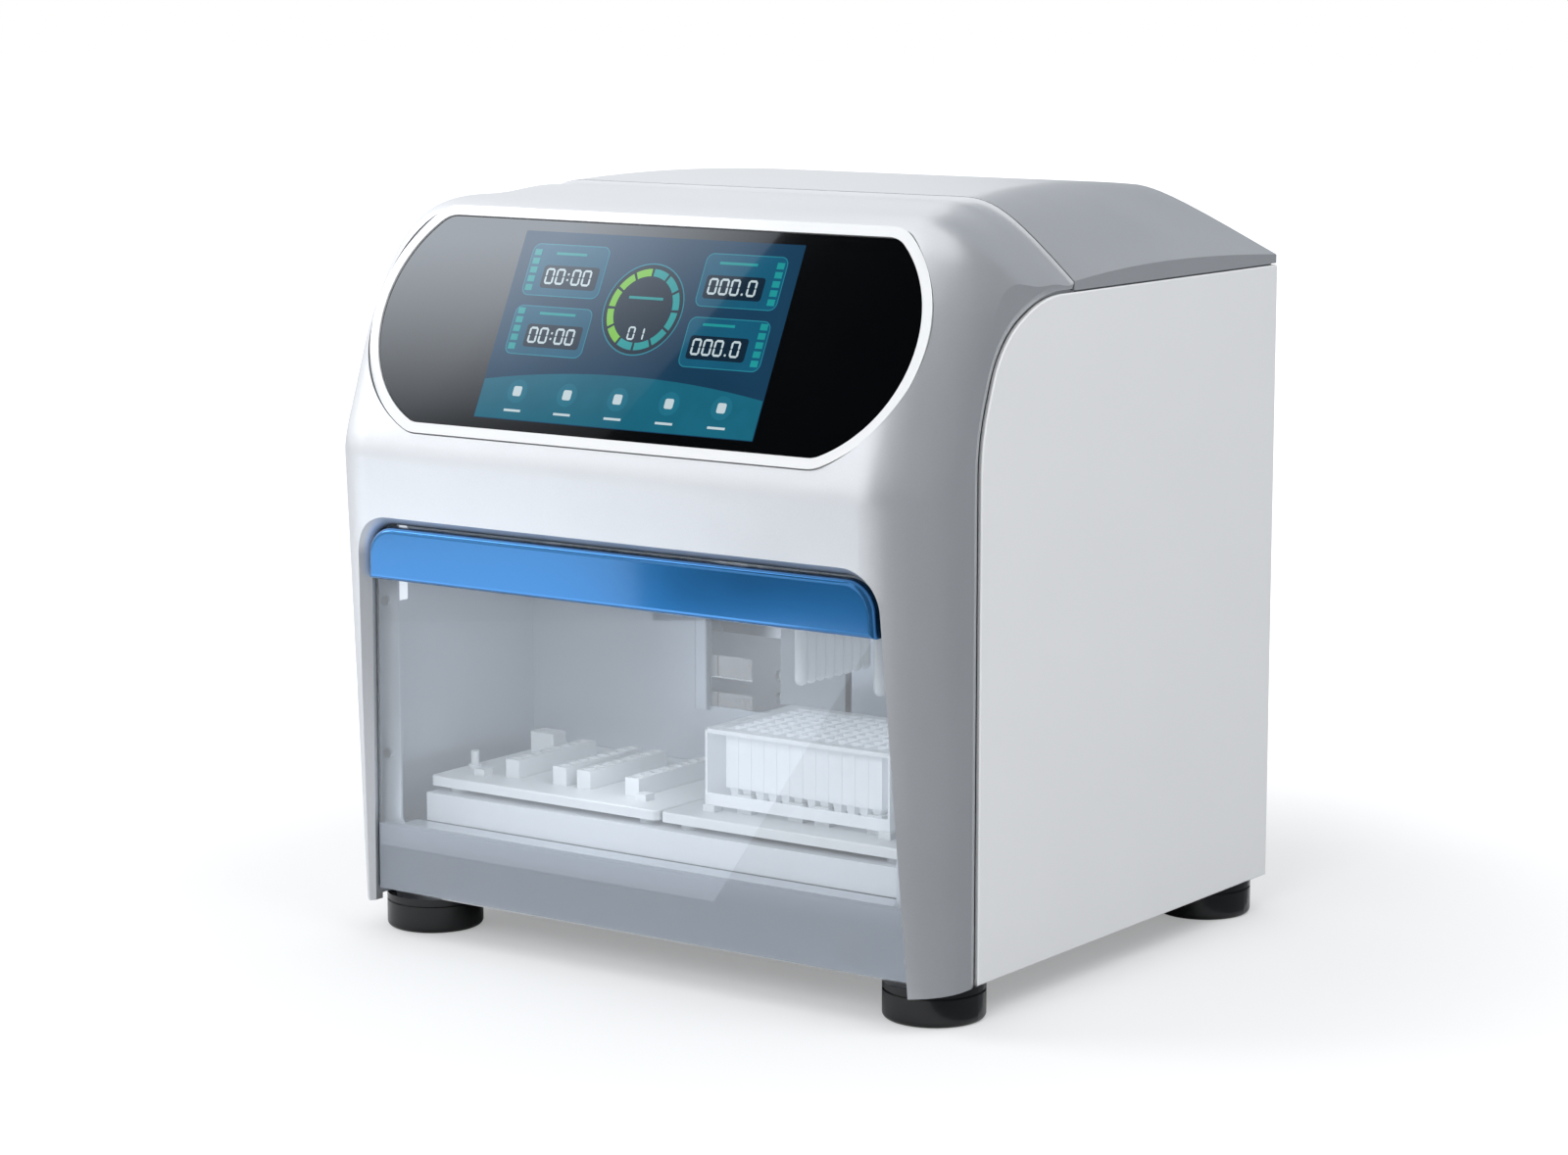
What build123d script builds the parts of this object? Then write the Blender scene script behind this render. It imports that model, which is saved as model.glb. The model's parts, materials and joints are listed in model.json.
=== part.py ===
from build123d import *
from math import atan2, cos, degrees, radians, sin, tan
import os

os.makedirs("parts", exist_ok=True)

# Bench-top nucleic acid extractor. Millimetres, +Z up, front towards -Y.
# The origin is on the floor, under the middle of the machine.

# Overall sizes
WIDTH = 420.0
FOOT_HEIGHT = 21.0
REAR_Y = 194.0
SEAM_Y = -38.0
ROOF_SEAM_Z = 446.5
ROOF_CROWN_Z = 449.0
ROOF_REAR_Z = 441.0
PANEL_TOP_Z = 396.2
SKIN = 3.0
SEAM_GAP = 0.8
TONGUE_LONG = 4.0
COVER_GAP = 1.0
TONGUE_LOW_Z = 405.0
TONGUE_INSETS = (-0.2, 2.6, 4.2)
GAP = 0.3

# Front outline, seen from the side, as (y, z) corners with a fillet radius at each
FRONT_FOOT = (-183.5, FOOT_HEIGHT)
FRONT_BROW = (-197.3, 300.0)
FRONT_MIDDLE = (-172.5, 372.0)
FRONT_CREST = (-132.5, 438.0)
FRONT_RADII = (60.0, 200.0, 30.0)
PIVOT = (SEAM_Y, 290.0)
CORE_RADIUS = 80.0
FAN_STEPS = 12

# Side panels
PANEL_THICK = 2.5
PANEL_FRONT_Y = -132.0
PANEL_CORNERS = ((-132.0, 322.0), (-113.0, 374.5), (-70.0, PANEL_TOP_Z))
PANEL_RADII = (110.0, 60.0, 80.0)
PANEL_GAP = 1.8
BEVEL_WIDE = 5.5
BEVEL_DEEP = 2.0

# Display: its glass lies on a plane tilted back from the front
DISPLAY_CENTRE = (0.0, -163.66, 371.77)
DISPLAY_TILT = 26.0
GLASS_TOP = 64.0
GLASS_BOTTOM = -63.5
GLASS_END_R = 74.0
GLASS_END_X = 113.0
GLASS_END_RISE = 5.0
GLASS_CORNER_R = 16.0
GLASS_THICK = 3.0
RIM_WIDE = 6.8
RIM_GAP = 0.6
SCREEN_WIDE = 197.0
SCREEN_HIGH = 115.0
SCREEN_THICK = 8.0

# Door: an acrylic sheet with a grip along its top, hinged along its bottom
DOOR_FOOT_Y = -172.4
DOOR_FOOT_Z = 28.6
DOOR_LEAN = 3.06
DOOR_HALF_FOOT = WIDTH / 2 - 20.5
DOOR_HALF_TOP = WIDTH / 2 - 32.3
DOOR_HIGH = 222.7
DOOR_THICK = 5.0
DOOR_CORNER_R = 18.0
DOOR_GAP = 1.5
GRIP_LOW = 191.2
GRIP_THICK = 7.6
GRIP_GROOVE = 6.0
OPENING_BEVEL = 6.0
HINGE_Y = -162.5
HINGE_Z = 38.0
HINGE_X = WIDTH / 2 - 60.0
PIN_R = 2.0
PIN_FIT = 0.05
KNUCKLE_R = 4.3
KNUCKLE_LONG = 16.0

# Sample chamber
CHAMBER_X = WIDTH / 2 - 15.0
CHAMBER_FRONT_Y = -164.0
CHAMBER_BACK_Y = -19.0
CHAMBER_TOP_Z = 385.0
SHEET = 1.5
FLOOR_SHEET = 2.2
LOWER_PANEL_Y = -151.0
SILL_LOW_Z = 57.0
SILL_Z = 68.0
FRAME_OPEN_X = CHAMBER_X - 17.0
FRAME_TOP_Z = 292.0
MAGNET_X = FRAME_OPEN_X - 10.0
DOOR_MAGNET_Z = 231.0
PEDESTAL_X = CHAMBER_X - 23.0
PEDESTAL_Z = 85.0
TRAY_TOP_Z = 95.0
TRAY_THICK = 6.0
TRAY_FRONT_Y = -146.0
TRAY_SPLIT = 1.0
WELL_ROW_Y = -87.0
TRAY_X = 85.5
PITCH = 9.0
RIB_WIDE = 10.0
RIB_TOP_Z = 106.0
RIB_COLUMNS = (2, 6, 8, 12)
WINDOW_X0 = -57.0
WINDOW_X1 = 47.0
WINDOW_Z = 130.0

# Deep-well plate
PLATE_LONG = 127.76
PLATE_WIDE = 85.48
PLATE_LOW_Z = 99.0
PLATE_TOP_Z = 143.5
WELL_SIZE = 8.3
WELL_WALL = 0.6
WELL_SHOULDER_Z = 109.0
WELL_TIP_Z = 102.5
WELL_TIP = 4.0
WELL_TAPER = 2.0
CUP_R = 3.8

# Moving head: carriage along X, sleeve stage along Z, magnet stage on it along Z
COMB_COLUMNS = (6, 12)
SLEEVE_R = 3.7
SLEEVE_WALL = 0.6
SLEEVE_TIP_Z = 173.0
HOLDER_Z = 238.0
HOLDER_THICK = 6.0
HOLDER_X0 = -98.0
HOLDER_X1 = 143.0
HOLDER_HALF_Y = 38.0
COMB_THICK = 2.5
MAST_X0 = -8.0
MAST_X1 = 39.0
MAST_Y0 = -14.0
MAST_Y1 = -9.0
MAST_LOW_Z = 136.0
MAST_TOP_Z = 388.0
RAIL_X = 6.0
RAIL_HALF = 6.0
RAIL_FRONT_Y = -22.0
LIFT_SCREW_X = 30.0
LIFT_SCREW_Y = -24.0
SCREW_R = 4.0
NUT_CLEAR = 0.3
MAGNET_PLATE_Z = 326.0
MAGNET_R = 2.6
MAGNET_TIP_Z = 252.0
POST_R = 4.0
POST_X = (-63.0, 108.0)
BRIDGE_Z = 352.0
MAGNET_SCREW_X = 22.5
MAGNET_SCREW_R = 3.0

# Fixed gantry behind the chamber
GANTRY_Y = 20.0
GANTRY_THICK = 4.0
GANTRY_HALF_X = 120.0
GANTRY_TOP_Z = 400.0
CROSS_RAIL_Z = (176.0, 350.0)
CROSS_RAIL_HALF = 6.0
CROSS_RAIL_Y0 = 12.0
CROSS_SCREW_Y = 8.0
CROSS_SCREW_Z = 262.0

# Rear and underside
FOOT_R = 29.0
FOOT_X = WIDTH / 2 - FOOT_R
FOOT_Y = (-132.0, 167.0)
FAN_X = -105.0
FAN_Z = 265.0
FAN_R = 38.0
INLET_X = 128.0
INLET_Z = 62.0
SWITCH_Z = 102.0
ROCKER_TILT = 9.0
REAR_PROUD = 3.0

HALF = WIDTH / 2
WALL_X = HALF - PANEL_THICK


def save(name, *shapes):
    """Write one named piece, or a group of like pieces, to its own file."""
    solids = []
    for shape in shapes:
        solids.extend(shape.solids())
    body = solids[0] if len(solids) == 1 else Compound(solids)
    export_step(body, f"parts/{name}.step")
    return body


def block(x0, x1, y0, y1, z0, z1):
    """Rectangular block between two opposite corners."""
    centre = Pos((x0 + x1) / 2, (y0 + y1) / 2, (z0 + z1) / 2)
    return centre * Box(x1 - x0, y1 - y0, z1 - z0)


def bar_x(x0, x1, y, z, radius):
    """Round bar along X."""
    return Pos((x0 + x1) / 2, y, z) * Rot(0, 90, 0) * Cylinder(radius, x1 - x0)


def bar_y(x, y0, y1, z, radius):
    """Round bar along Y."""
    return Pos(x, (y0 + y1) / 2, z) * Rot(90, 0, 0) * Cylinder(radius, y1 - y0)


def bar_z(x, y, z0, z1, radius):
    """Round bar along Z."""
    return Pos(x, y, (z0 + z1) / 2) * Cylinder(radius, z1 - z0)


def both_sides(shape):
    """The shape and its mirror image across the middle of the machine."""
    return [shape, mirror(shape, Plane.YZ)]


def side_slab(face, x0, x1):
    """Extrude an outline drawn in (y, z) between two X stations."""
    return Pos(x0, 0, 0) * extrude(Plane.YZ * face, x1 - x0)


# ---------------------------------------------------------------- outer casing

def front_outline():
    """Side view of the front, from the bottom edge up and back to the seam."""
    corners = (FRONT_FOOT, FRONT_BROW, FRONT_MIDDLE, FRONT_CREST, (SEAM_Y, ROOF_SEAM_Z))
    return FilletPolyline(*corners, radius=FRONT_RADII)


OUTLINE = front_outline()


def angle_at(point):
    """Angle of an outline point about the pivot: 0 is forwards, 90 is up."""
    return degrees(atan2(point.Y - PIVOT[1], PIVOT[0] - point.X))


def reach(angle):
    """Distance from the pivot to the outline along a ray."""
    low, high = 0.0, 1.0
    for _ in range(40):
        middle = (low + high) / 2
        if angle_at(OUTLINE @ middle) < angle:
            low = middle
        else:
            high = middle
    point = OUTLINE @ low
    return ((point.X - PIVOT[0]) ** 2 + (point.Y - PIVOT[1]) ** 2) ** 0.5


def corner_points(blend, inset):
    """Four Bezier points (x, depth) of a section's corner.

    blend 0 is the round corner of the front, 1 the slope at the seam,
    2 the shallower slope at the rear.
    """
    arc = 0.552
    radius = 37.0
    round_corner = (
        (HALF - radius, inset),
        (HALF - radius + (radius - inset) * arc, inset),
        (HALF - inset, radius - (radius - inset) * arc),
        (HALF - inset, radius),
    )
    if blend < 1:
        rise = ROOF_SEAM_Z - 402.3
        slope = sloped_corner(136.0, 158.0, 172.0, rise, 42.0, inset)
        return mix(round_corner, slope, blend)
    seam = sloped_corner(136.0, 158.0, 172.0, ROOF_SEAM_Z - 402.3, 42.0, inset)
    rear = sloped_corner(108.0, 125.0, 150.0, ROOF_REAR_Z - 402.4, 25.0, inset)
    return mix(seam, rear, blend - 1)


def sloped_corner(flat_x, pull_x, bend_x, drop, slope, inset):
    """Corner that rounds off a flat roof into a straight slope down to the skirt."""
    skirt_x = HALF - 1.0
    fall = tan(radians(slope))
    shift = inset / cos(radians(slope))
    end_x = skirt_x - inset
    return (
        (flat_x, inset),
        (pull_x, inset),
        (bend_x, drop - (skirt_x - bend_x) * fall + shift),
        (end_x, drop - inset * fall + shift),
    )


def mix(first, second, share):
    """Points part of the way from one list to another."""
    pairs = zip(first, second)
    return tuple((a[0] + (b[0] - a[0]) * share, a[1] + (b[1] - a[1]) * share) for a, b in pairs)


def section(plane, top, bottom, blend, inset):
    """Arch-shaped face: flat top, shaped corners, straight sides."""
    p0, p1, p2, p3 = [(x, top - depth) for x, depth in corner_points(blend, inset)]
    right = [Line((p3[0], bottom), p3), Bezier(p3, p2, p1, p0)]
    flip = [(-x, y) for x, y in (p0, p1, p2, p3)]
    left = [Bezier(flip[0], flip[1], flip[2], flip[3]), Line(flip[3], (-p3[0], bottom))]
    edges = right + [Line(p0, flip[0])] + left + [Line((-p3[0], bottom), (p3[0], bottom))]
    return plane * make_face(edges)


def ray_plane(angle, push=0.0):
    """Plane through the pivot that holds X and a ray at the given angle."""
    turn = radians(angle)
    origin = (0, PIVOT[0] + push, PIVOT[1])
    return Plane(origin, x_dir=(1, 0, 0), z_dir=(0, -sin(turn), -cos(turn)))


def level_plane(height):
    """Horizontal plane whose local y points forwards from above the pivot."""
    return Plane((0, PIVOT[0], height), x_dir=(1, 0, 0), z_dir=(0, 0, -1))


def seam_blend(angle):
    """How far the corner has turned into the roof's slope at a ray."""
    share = min(max((angle - 42.0) / 48.0, 0.0), 1.0)
    return share * share * (3 - 2 * share)


def front_form(inset):
    """Solid of the front casing, pulled in by the inset: straight legs, then the fan."""
    core = CORE_RADIUS - inset
    extra = 10.0 if inset else 0.0
    lean = (FRONT_FOOT[0] - FRONT_BROW[0]) / (FRONT_BROW[1] - FRONT_FOOT[1])
    foot_reach = PIVOT[0] - FRONT_FOOT[0] - extra * lean
    low = section(level_plane(FOOT_HEIGHT - extra), foot_reach, core, 0.0, inset)
    fan = []
    for step in range(FAN_STEPS + 1):
        angle = 90.0 * step / FAN_STEPS
        fan.append(section(ray_plane(angle), reach(angle), core, seam_blend(angle), inset))
    form = loft([low, fan[0]], ruled=True) + loft(fan)
    if inset:
        form += extrude(fan[-1], -extra)
    return form


def panel_outline(grow=0.0):
    """Outline of a side panel in (y, z), or of a larger one around it."""
    top_rear = (REAR_Y, PANEL_TOP_Z)
    low_rear = (REAR_Y, FOOT_HEIGHT)
    low_front = (PANEL_FRONT_Y, FOOT_HEIGHT)
    curve = FilletPolyline(low_front, *PANEL_CORNERS, top_rear, radius=PANEL_RADII)
    face = make_face([curve, Line(top_rear, low_rear), Line(low_rear, low_front)])
    return offset(face, grow) if grow else face


def rim_outline(grow=0.0):
    """Outline of the display glass on its own plane, or one larger all round."""
    ends = Pos(GLASS_END_X, GLASS_END_RISE) * Circle(GLASS_END_R)
    ends += Pos(-GLASS_END_X, GLASS_END_RISE) * Circle(GLASS_END_R)
    ends += Pos(0, GLASS_END_RISE) * Rectangle(2 * GLASS_END_X, 2 * GLASS_END_R)
    high = GLASS_TOP - GLASS_BOTTOM
    band = Pos(0, (GLASS_TOP + GLASS_BOTTOM) / 2) * Rectangle(WIDTH, high)
    shape = ends & band
    shape = fillet(shape.vertices(), GLASS_CORNER_R)
    return offset(shape, grow) if grow else shape


def display_plane(out=0.0):
    """Plane of the display glass, moved outwards."""
    tilt = radians(DISPLAY_TILT)
    normal = Vector(0, -cos(tilt), sin(tilt))
    return Plane(Vector(*DISPLAY_CENTRE) + normal * out, x_dir=(1, 0, 0), z_dir=normal)


def display_slab(face, low, high):
    """Extrude a face drawn on the display between two distances from its glass."""
    return extrude(display_plane(low) * face, high - low)


def door_plane(out=0.0):
    """Plane of the door's outer face, moved outwards; local y runs up the door."""
    lean = radians(DOOR_LEAN)
    normal = Vector(0, -cos(lean), -sin(lean))
    origin = Vector(0, DOOR_FOOT_Y, DOOR_FOOT_Z) + normal * out
    return Plane(origin, x_dir=(1, 0, 0), z_dir=normal)


def door_outline(grow=0.0, foot=0.0):
    """Door outline, narrower at the top, with a foot that may reach lower."""
    taper = (DOOR_HALF_FOOT - DOOR_HALF_TOP) / DOOR_HIGH
    low = DOOR_HALF_FOOT + grow + foot * taper
    top = DOOR_HALF_TOP + grow - grow * taper
    points = [(-low, -foot), (low, -foot), (top, DOOR_HIGH + grow), (-top, DOOR_HIGH + grow)]
    face = make_face(Polyline(*points, close=True))
    upper = face.vertices().sort_by(Axis.Y)[-2:]
    return fillet(upper, DOOR_CORNER_R + grow)


def door_slab(face, low, high):
    """Extrude a face drawn on the door between two distances from its outer face."""
    return extrude(door_plane(low) * face, high - low)


def front_shell():
    """Front casing: wrapped skin, display seat, door opening with its bevel."""
    outer = front_form(0.0)
    skin = outer - front_form(SKIN)
    seat = outer & display_slab(rim_outline(RIM_WIDE + 5), -8.0, 30.0)
    border = door_outline(DOOR_GAP + OPENING_BEVEL + 4, 20.0)
    surround = outer & door_slab(border, -4.0, 40.0)
    surround &= block(-HALF, HALF, -220, -100, FOOT_HEIGHT, 300)
    shell = skin + seat + surround
    shell -= display_slab(rim_outline(RIM_WIDE + 0.5), -1.6, 30.0)
    shell -= display_slab(rim_outline(RIM_GAP), -GLASS_THICK - 0.2, 30.0)
    shell -= display_slab(Rectangle(SCREEN_WIDE + 4, SCREEN_HIGH + 4), -20.0, 30.0)
    shell -= door_slab(door_outline(DOOR_GAP, 30.0), -30.0, 40.0)
    inner = door_plane(2.0) * door_outline(DOOR_GAP, 30.0)
    wide = door_plane(22.0) * door_outline(DOOR_GAP + OPENING_BEVEL * 2.2, 30.0)
    shell -= loft([inner, wide])
    for side in (1, -1):
        shell -= side_slab(panel_outline(PANEL_GAP), side * (HALF - 12), side * (HALF + 5))
        bottom = Plane.YZ.offset(side * (HALF - BEVEL_DEEP)) * panel_outline(PANEL_GAP)
        top = Plane.YZ.offset(side * (HALF + 0.6)) * panel_outline(PANEL_GAP + BEVEL_WIDE * 1.3)
        shell -= loft([bottom, top])
    shell -= block(-HALF - 5, HALF + 5, SEAM_Y - SEAM_GAP / 2, SEAM_Y + 30, 0, 500)
    shell -= block(-HALF - 5, HALF + 5, -250, 0, 0, FOOT_HEIGHT)
    lips = []
    for side in (1, -1):
        ring = panel_outline(PANEL_GAP + 4) - panel_outline(-7.0)
        lip = side_slab(ring, side * (WALL_X - 3.1), side * (WALL_X - 0.6))
        lip &= block(-HALF, HALF, -200, SEAM_Y - 1, FOOT_HEIGHT + 4, 420)
        lips.append(lip & outer)
    for lip in lips:
        shell += lip
    return shell


def roof_face(y, crown, blend, inset):
    """Upright section of the top cover at a station along Y."""
    skirt = PANEL_TOP_Z + COVER_GAP
    plane = Plane((0, y, 0), x_dir=(1, 0, 0), z_dir=(0, -1, 0))
    return section(plane, crown, skirt, blend, inset)


def roof_form(inset, y0, y1):
    """Solid of the top cover between two stations."""
    stations = ((y0, ROOF_SEAM_Z, 1.0), (30.0, ROOF_CROWN_Z, 1.3), (112.0, 447.0, 1.65))
    faces = [roof_face(y, crown, blend, inset) for y, crown, blend in stations]
    faces.append(roof_face(y1, ROOF_REAR_Z, 2.0, inset))
    return loft(faces)


def top_cover():
    """Crowned cover that narrows its flat to the rear, with a lip under the seam."""
    front = SEAM_Y + SEAM_GAP / 2
    cover = roof_form(0.0, front, REAR_Y)
    hollow = roof_form(SKIN, front, REAR_Y - SKIN)
    mouth = extrude(roof_face(front, ROOF_SEAM_Z, 1.0, SKIN), 1.0)
    cover = cover - hollow - mouth
    rings = [roof_face(front + 4, ROOF_SEAM_Z, 1.0, SKIN + inset) for inset in TONGUE_INSETS]
    tongue = extrude(rings[1] - rings[2], TONGUE_LONG + 4)
    tongue += extrude(rings[0] - rings[2], 3.0)
    tongue &= block(-HALF, HALF, SEAM_Y - TONGUE_LONG, SEAM_Y + 6, TONGUE_LOW_Z, 460)
    cover += tongue
    flange = block(WALL_X - 4, WALL_X, front + 3, REAR_Y - 4, PANEL_TOP_Z - 14, PANEL_TOP_Z + 6)
    for leg in both_sides(flange):
        cover += leg
    return cover


def side_panel():
    """Right-hand side panel: flat sheet with a softened outer edge."""
    sheet = side_slab(panel_outline(), WALL_X, HALF)
    rim = sheet.faces().sort_by(Axis.X)[-1].edges()
    return chamfer(rim, 0.7)


def rear_panel():
    """Rear sheet with its fan, inlet, switch, socket and vent openings."""
    width = WALL_X - GAP
    sheet = block(-width, width, REAR_Y - 2.0, REAR_Y, FOOT_HEIGHT + FLOOR_SHEET, PANEL_TOP_Z)
    sheet -= bar_y(FAN_X, REAR_Y - 5, REAR_Y + 5, FAN_Z, FAN_R)
    sheet -= block(INLET_X - 14, INLET_X + 14, REAR_Y - 5, REAR_Y + 5, INLET_Z - 11, INLET_Z + 11)
    sheet -= block(INLET_X - 10.4, INLET_X + 10.4, REAR_Y - 5, REAR_Y + 5, SWITCH_Z - 14, SWITCH_Z + 14)
    sheet -= block(30, 76, REAR_Y - 5, REAR_Y + 5, 53, 71)
    for row in range(7):
        for column in range(3):
            slot = SlotOverall(34, 4)
            place = Plane((60 + 42 * column, REAR_Y - 5, 230 + 12 * row), x_dir=(1, 0, 0), z_dir=(0, 1, 0))
            sheet -= extrude(place * slot, 10)
    return sheet


def base_plate():
    """Folded floor sheet with a low upstand round three sides."""
    width = WALL_X - GAP
    low, high = FOOT_HEIGHT, FOOT_HEIGHT + FLOOR_SHEET
    plate = block(-width, width, PANEL_FRONT_Y, REAR_Y, low, high)
    plate += block(-CHAMBER_X, CHAMBER_X, LOWER_PANEL_Y, PANEL_FRONT_Y, low, high)
    for side in (1, -1):
        edge = sorted((side * width, side * (width - 2)))
        plate += block(edge[0], edge[1], PANEL_FRONT_Y + 16, REAR_Y - 2.1, high, high + 16)
    return plate


def foot(x, y):
    """Round rubber foot with a softened sole and a screw recess."""
    body = bar_z(x, y, 0, FOOT_HEIGHT, FOOT_R)
    body = fillet(body.edges().sort_by(Axis.Z)[0], 3.0)
    body -= bar_z(x, y, -1, 12, 3.6)
    groove = bar_z(x, y, 16.0, 17.4, FOOT_R + 1) - bar_z(x, y, 15, 18, FOOT_R - 1.2)
    return body - groove


# ------------------------------------------------------------------- display

def display_bezel():
    """Pale ring that frames the display glass."""
    ring = display_slab(rim_outline(RIM_WIDE), -1.6, 1.0)
    ring -= display_slab(rim_outline(RIM_GAP), -5.0, 5.0)
    return ring


def display_glass():
    """Black cover glass of the display, with its edge broken."""
    return display_slab(rim_outline(), -GLASS_THICK, 0.0)


def display_screen():
    """Touch screen module behind the glass."""
    back = -GLASS_THICK - SCREEN_THICK
    return display_slab(Rectangle(SCREEN_WIDE, SCREEN_HIGH), back, -GLASS_THICK)


def display_bracket():
    """Sheet that clamps the screen to the front casing, with two rolled flanges."""
    back = -GLASS_THICK - SCREEN_THICK
    sheet = display_slab(Rectangle(SCREEN_WIDE + 30, SCREEN_HIGH - 8), back - 1.5, back)
    for side in (1, -1):
        foot_face = Pos(side * (SCREEN_WIDE / 2 + 13), 0) * Rectangle(6, SCREEN_HIGH - 8)
        sheet += display_slab(foot_face, back, -8.0)
    return sheet


def display_board():
    """Control board carried on four spacers behind the display bracket."""
    back = -GLASS_THICK - SCREEN_THICK - 1.5
    board = display_slab(Rectangle(150, 90), back - 6.6, back - 5.0)
    for x in (-68, 68):
        for y in (-38, 38):
            spacer = Pos(x, y) * Circle(3)
            board += display_slab(spacer, back - 5.0, back)
    chip = display_slab(Pos(-20, 5) * Rectangle(24, 24), back - 9.0, back - 6.6)
    return board + chip


# ---------------------------------------------------------------------- door

def door_glass():
    """Acrylic sheet of the door with its hinge screws' seat at the foot."""
    return door_slab(door_outline(), -DOOR_THICK, 0.0)


def door_grip():
    """Full-width grip along the door's top, hollowed below for the fingers."""
    keep = Pos(0, (GRIP_LOW + DOOR_HIGH) / 2) * Rectangle(WIDTH, DOOR_HIGH - GRIP_LOW)
    face = door_outline() & keep
    grip = door_slab(face, 0.0, GRIP_THICK)
    out = door_plane(0).z_dir
    front = grip.faces().sort_by(Axis(origin=(0, 0, 0), direction=out))[-1]
    grip = fillet(front.edges(), 3.2)
    pocket = Pos(0, GRIP_LOW) * Rectangle(2 * DOOR_HALF_TOP - 24, 2 * GRIP_GROOVE)
    return grip - door_slab(pocket, -1.0, GRIP_THICK - 3.4)


def door_knuckle(x):
    """Hinge block on the door's foot, bored for its pin."""
    lean = tan(radians(DOOR_LEAN))
    inner_y = DOOR_FOOT_Y + DOOR_THICK
    half = KNUCKLE_LONG / 2
    barrel = bar_x(x - half, x + half, HINGE_Y, HINGE_Z, KNUCKLE_R)
    web = block(x - half, x + half, inner_y - 3, HINGE_Y, HINGE_Z - KNUCKLE_R, HINGE_Z + KNUCKLE_R)
    pad = block(x - half, x + half, inner_y - 3, inner_y + 1.6, HINGE_Z - 6, HINGE_Z + 12)
    knuckle = barrel + web + pad
    cut = door_slab(Rectangle(WIDTH, 200), -DOOR_THICK, 30.0)
    knuckle -= cut
    return knuckle - bar_x(x - 20, x + 20, HINGE_Y, HINGE_Z, PIN_R + PIN_FIT)


def hinge_bracket(x):
    """Fixed pair of hinge ears reaching forwards from the lower panel."""
    ears = []
    inner = KNUCKLE_LONG / 2 + 0.4
    for side in (1, -1):
        x0, x1 = sorted((x + side * inner, x + side * (inner + 4)))
        arm = block(x0, x1, HINGE_Y, LOWER_PANEL_Y, HINGE_Z - 4.3, HINGE_Z + 4.3)
        arm += bar_x(x0, x1, HINGE_Y, HINGE_Z, 4.3)
        ears.append(arm - bar_x(x - 20, x + 20, HINGE_Y, HINGE_Z, PIN_R))
    x0, x1 = x - inner - 4, x + inner + 4
    back = block(x0, x1, LOWER_PANEL_Y - 1.5, LOWER_PANEL_Y, HINGE_Z - 4.3, HINGE_Z + 14)
    return back + ears[0] + ears[1]


def hinge_pin(x):
    """Steel hinge pin through a knuckle and both ears."""
    half = KNUCKLE_LONG / 2 + 4.4
    return bar_x(x - half, x + half, HINGE_Y, HINGE_Z, PIN_R)


# ------------------------------------------------------------- sample chamber

def front_frame():
    """Sheet frame round the chamber's mouth."""
    y0, y1 = CHAMBER_FRONT_Y - SHEET, CHAMBER_FRONT_Y
    frame = block(-CHAMBER_X - SHEET, CHAMBER_X + SHEET, y0, y1, SILL_LOW_Z, FRAME_TOP_Z)
    hole = block(-FRAME_OPEN_X, FRAME_OPEN_X, y0 - 1, y1 + 1, SILL_Z, FRAME_TOP_Z - 14)
    hole = fillet(hole.edges().filter_by(Axis.Y), 4.0)
    frame -= hole
    for side in (1, -1):
        x0, x1 = sorted((side * (MAGNET_X - 9), side * (FRAME_OPEN_X + 1)))
        frame += block(x0, x1, y0, y1, DOOR_MAGNET_Z - 7, DOOR_MAGNET_Z + 7)
    sill = block(-FRAME_OPEN_X, FRAME_OPEN_X, y1, LOWER_PANEL_Y, SILL_Z - SHEET, SILL_Z)
    return frame + sill


def lower_panel():
    """Grey panel below the chamber's sill, with a pressed step."""
    y0, y1 = LOWER_PANEL_Y, LOWER_PANEL_Y + SHEET
    low = FOOT_HEIGHT + FLOOR_SHEET
    panel = block(-CHAMBER_X, CHAMBER_X, y0, y1, low, SILL_Z - SHEET)
    panel += block(-FRAME_OPEN_X + 6, FRAME_OPEN_X - 6, y0 - 1.2, y0, 45.0 + 8, SILL_Z - SHEET)
    panel += block(-CHAMBER_X, CHAMBER_X, y1, y1 + 12, low, low + SHEET)
    return panel


def chamber_side():
    """Right-hand inner wall, cut back at the top to clear the display."""
    low = FOOT_HEIGHT + FLOOR_SHEET
    front, back = CHAMBER_FRONT_Y, CHAMBER_BACK_Y
    points = [(front, low), (front, 318), (-128, CHAMBER_TOP_Z), (back, CHAMBER_TOP_Z), (back, low)]
    return side_slab(make_face(Polyline(*points, close=True)), CHAMBER_X, CHAMBER_X + SHEET)


def chamber_back():
    """Back wall with the window that the head reaches through."""
    low = FOOT_HEIGHT + FLOOR_SHEET
    y0, y1 = CHAMBER_BACK_Y, CHAMBER_BACK_Y + SHEET
    wall = block(-CHAMBER_X - SHEET, CHAMBER_X + SHEET, y0, y1, low, CHAMBER_TOP_Z)
    wall -= block(WINDOW_X0, WINDOW_X1, y0 - 1, y1 + 1, WINDOW_Z, CHAMBER_TOP_Z + 1)
    post = block(WINDOW_X0 - 9, WINDOW_X0, y0 - 4, y0, WINDOW_Z - 2, CHAMBER_TOP_Z)
    post = fillet(post.edges().filter_by(Axis.Z), 1.2)
    return wall + post


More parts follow.
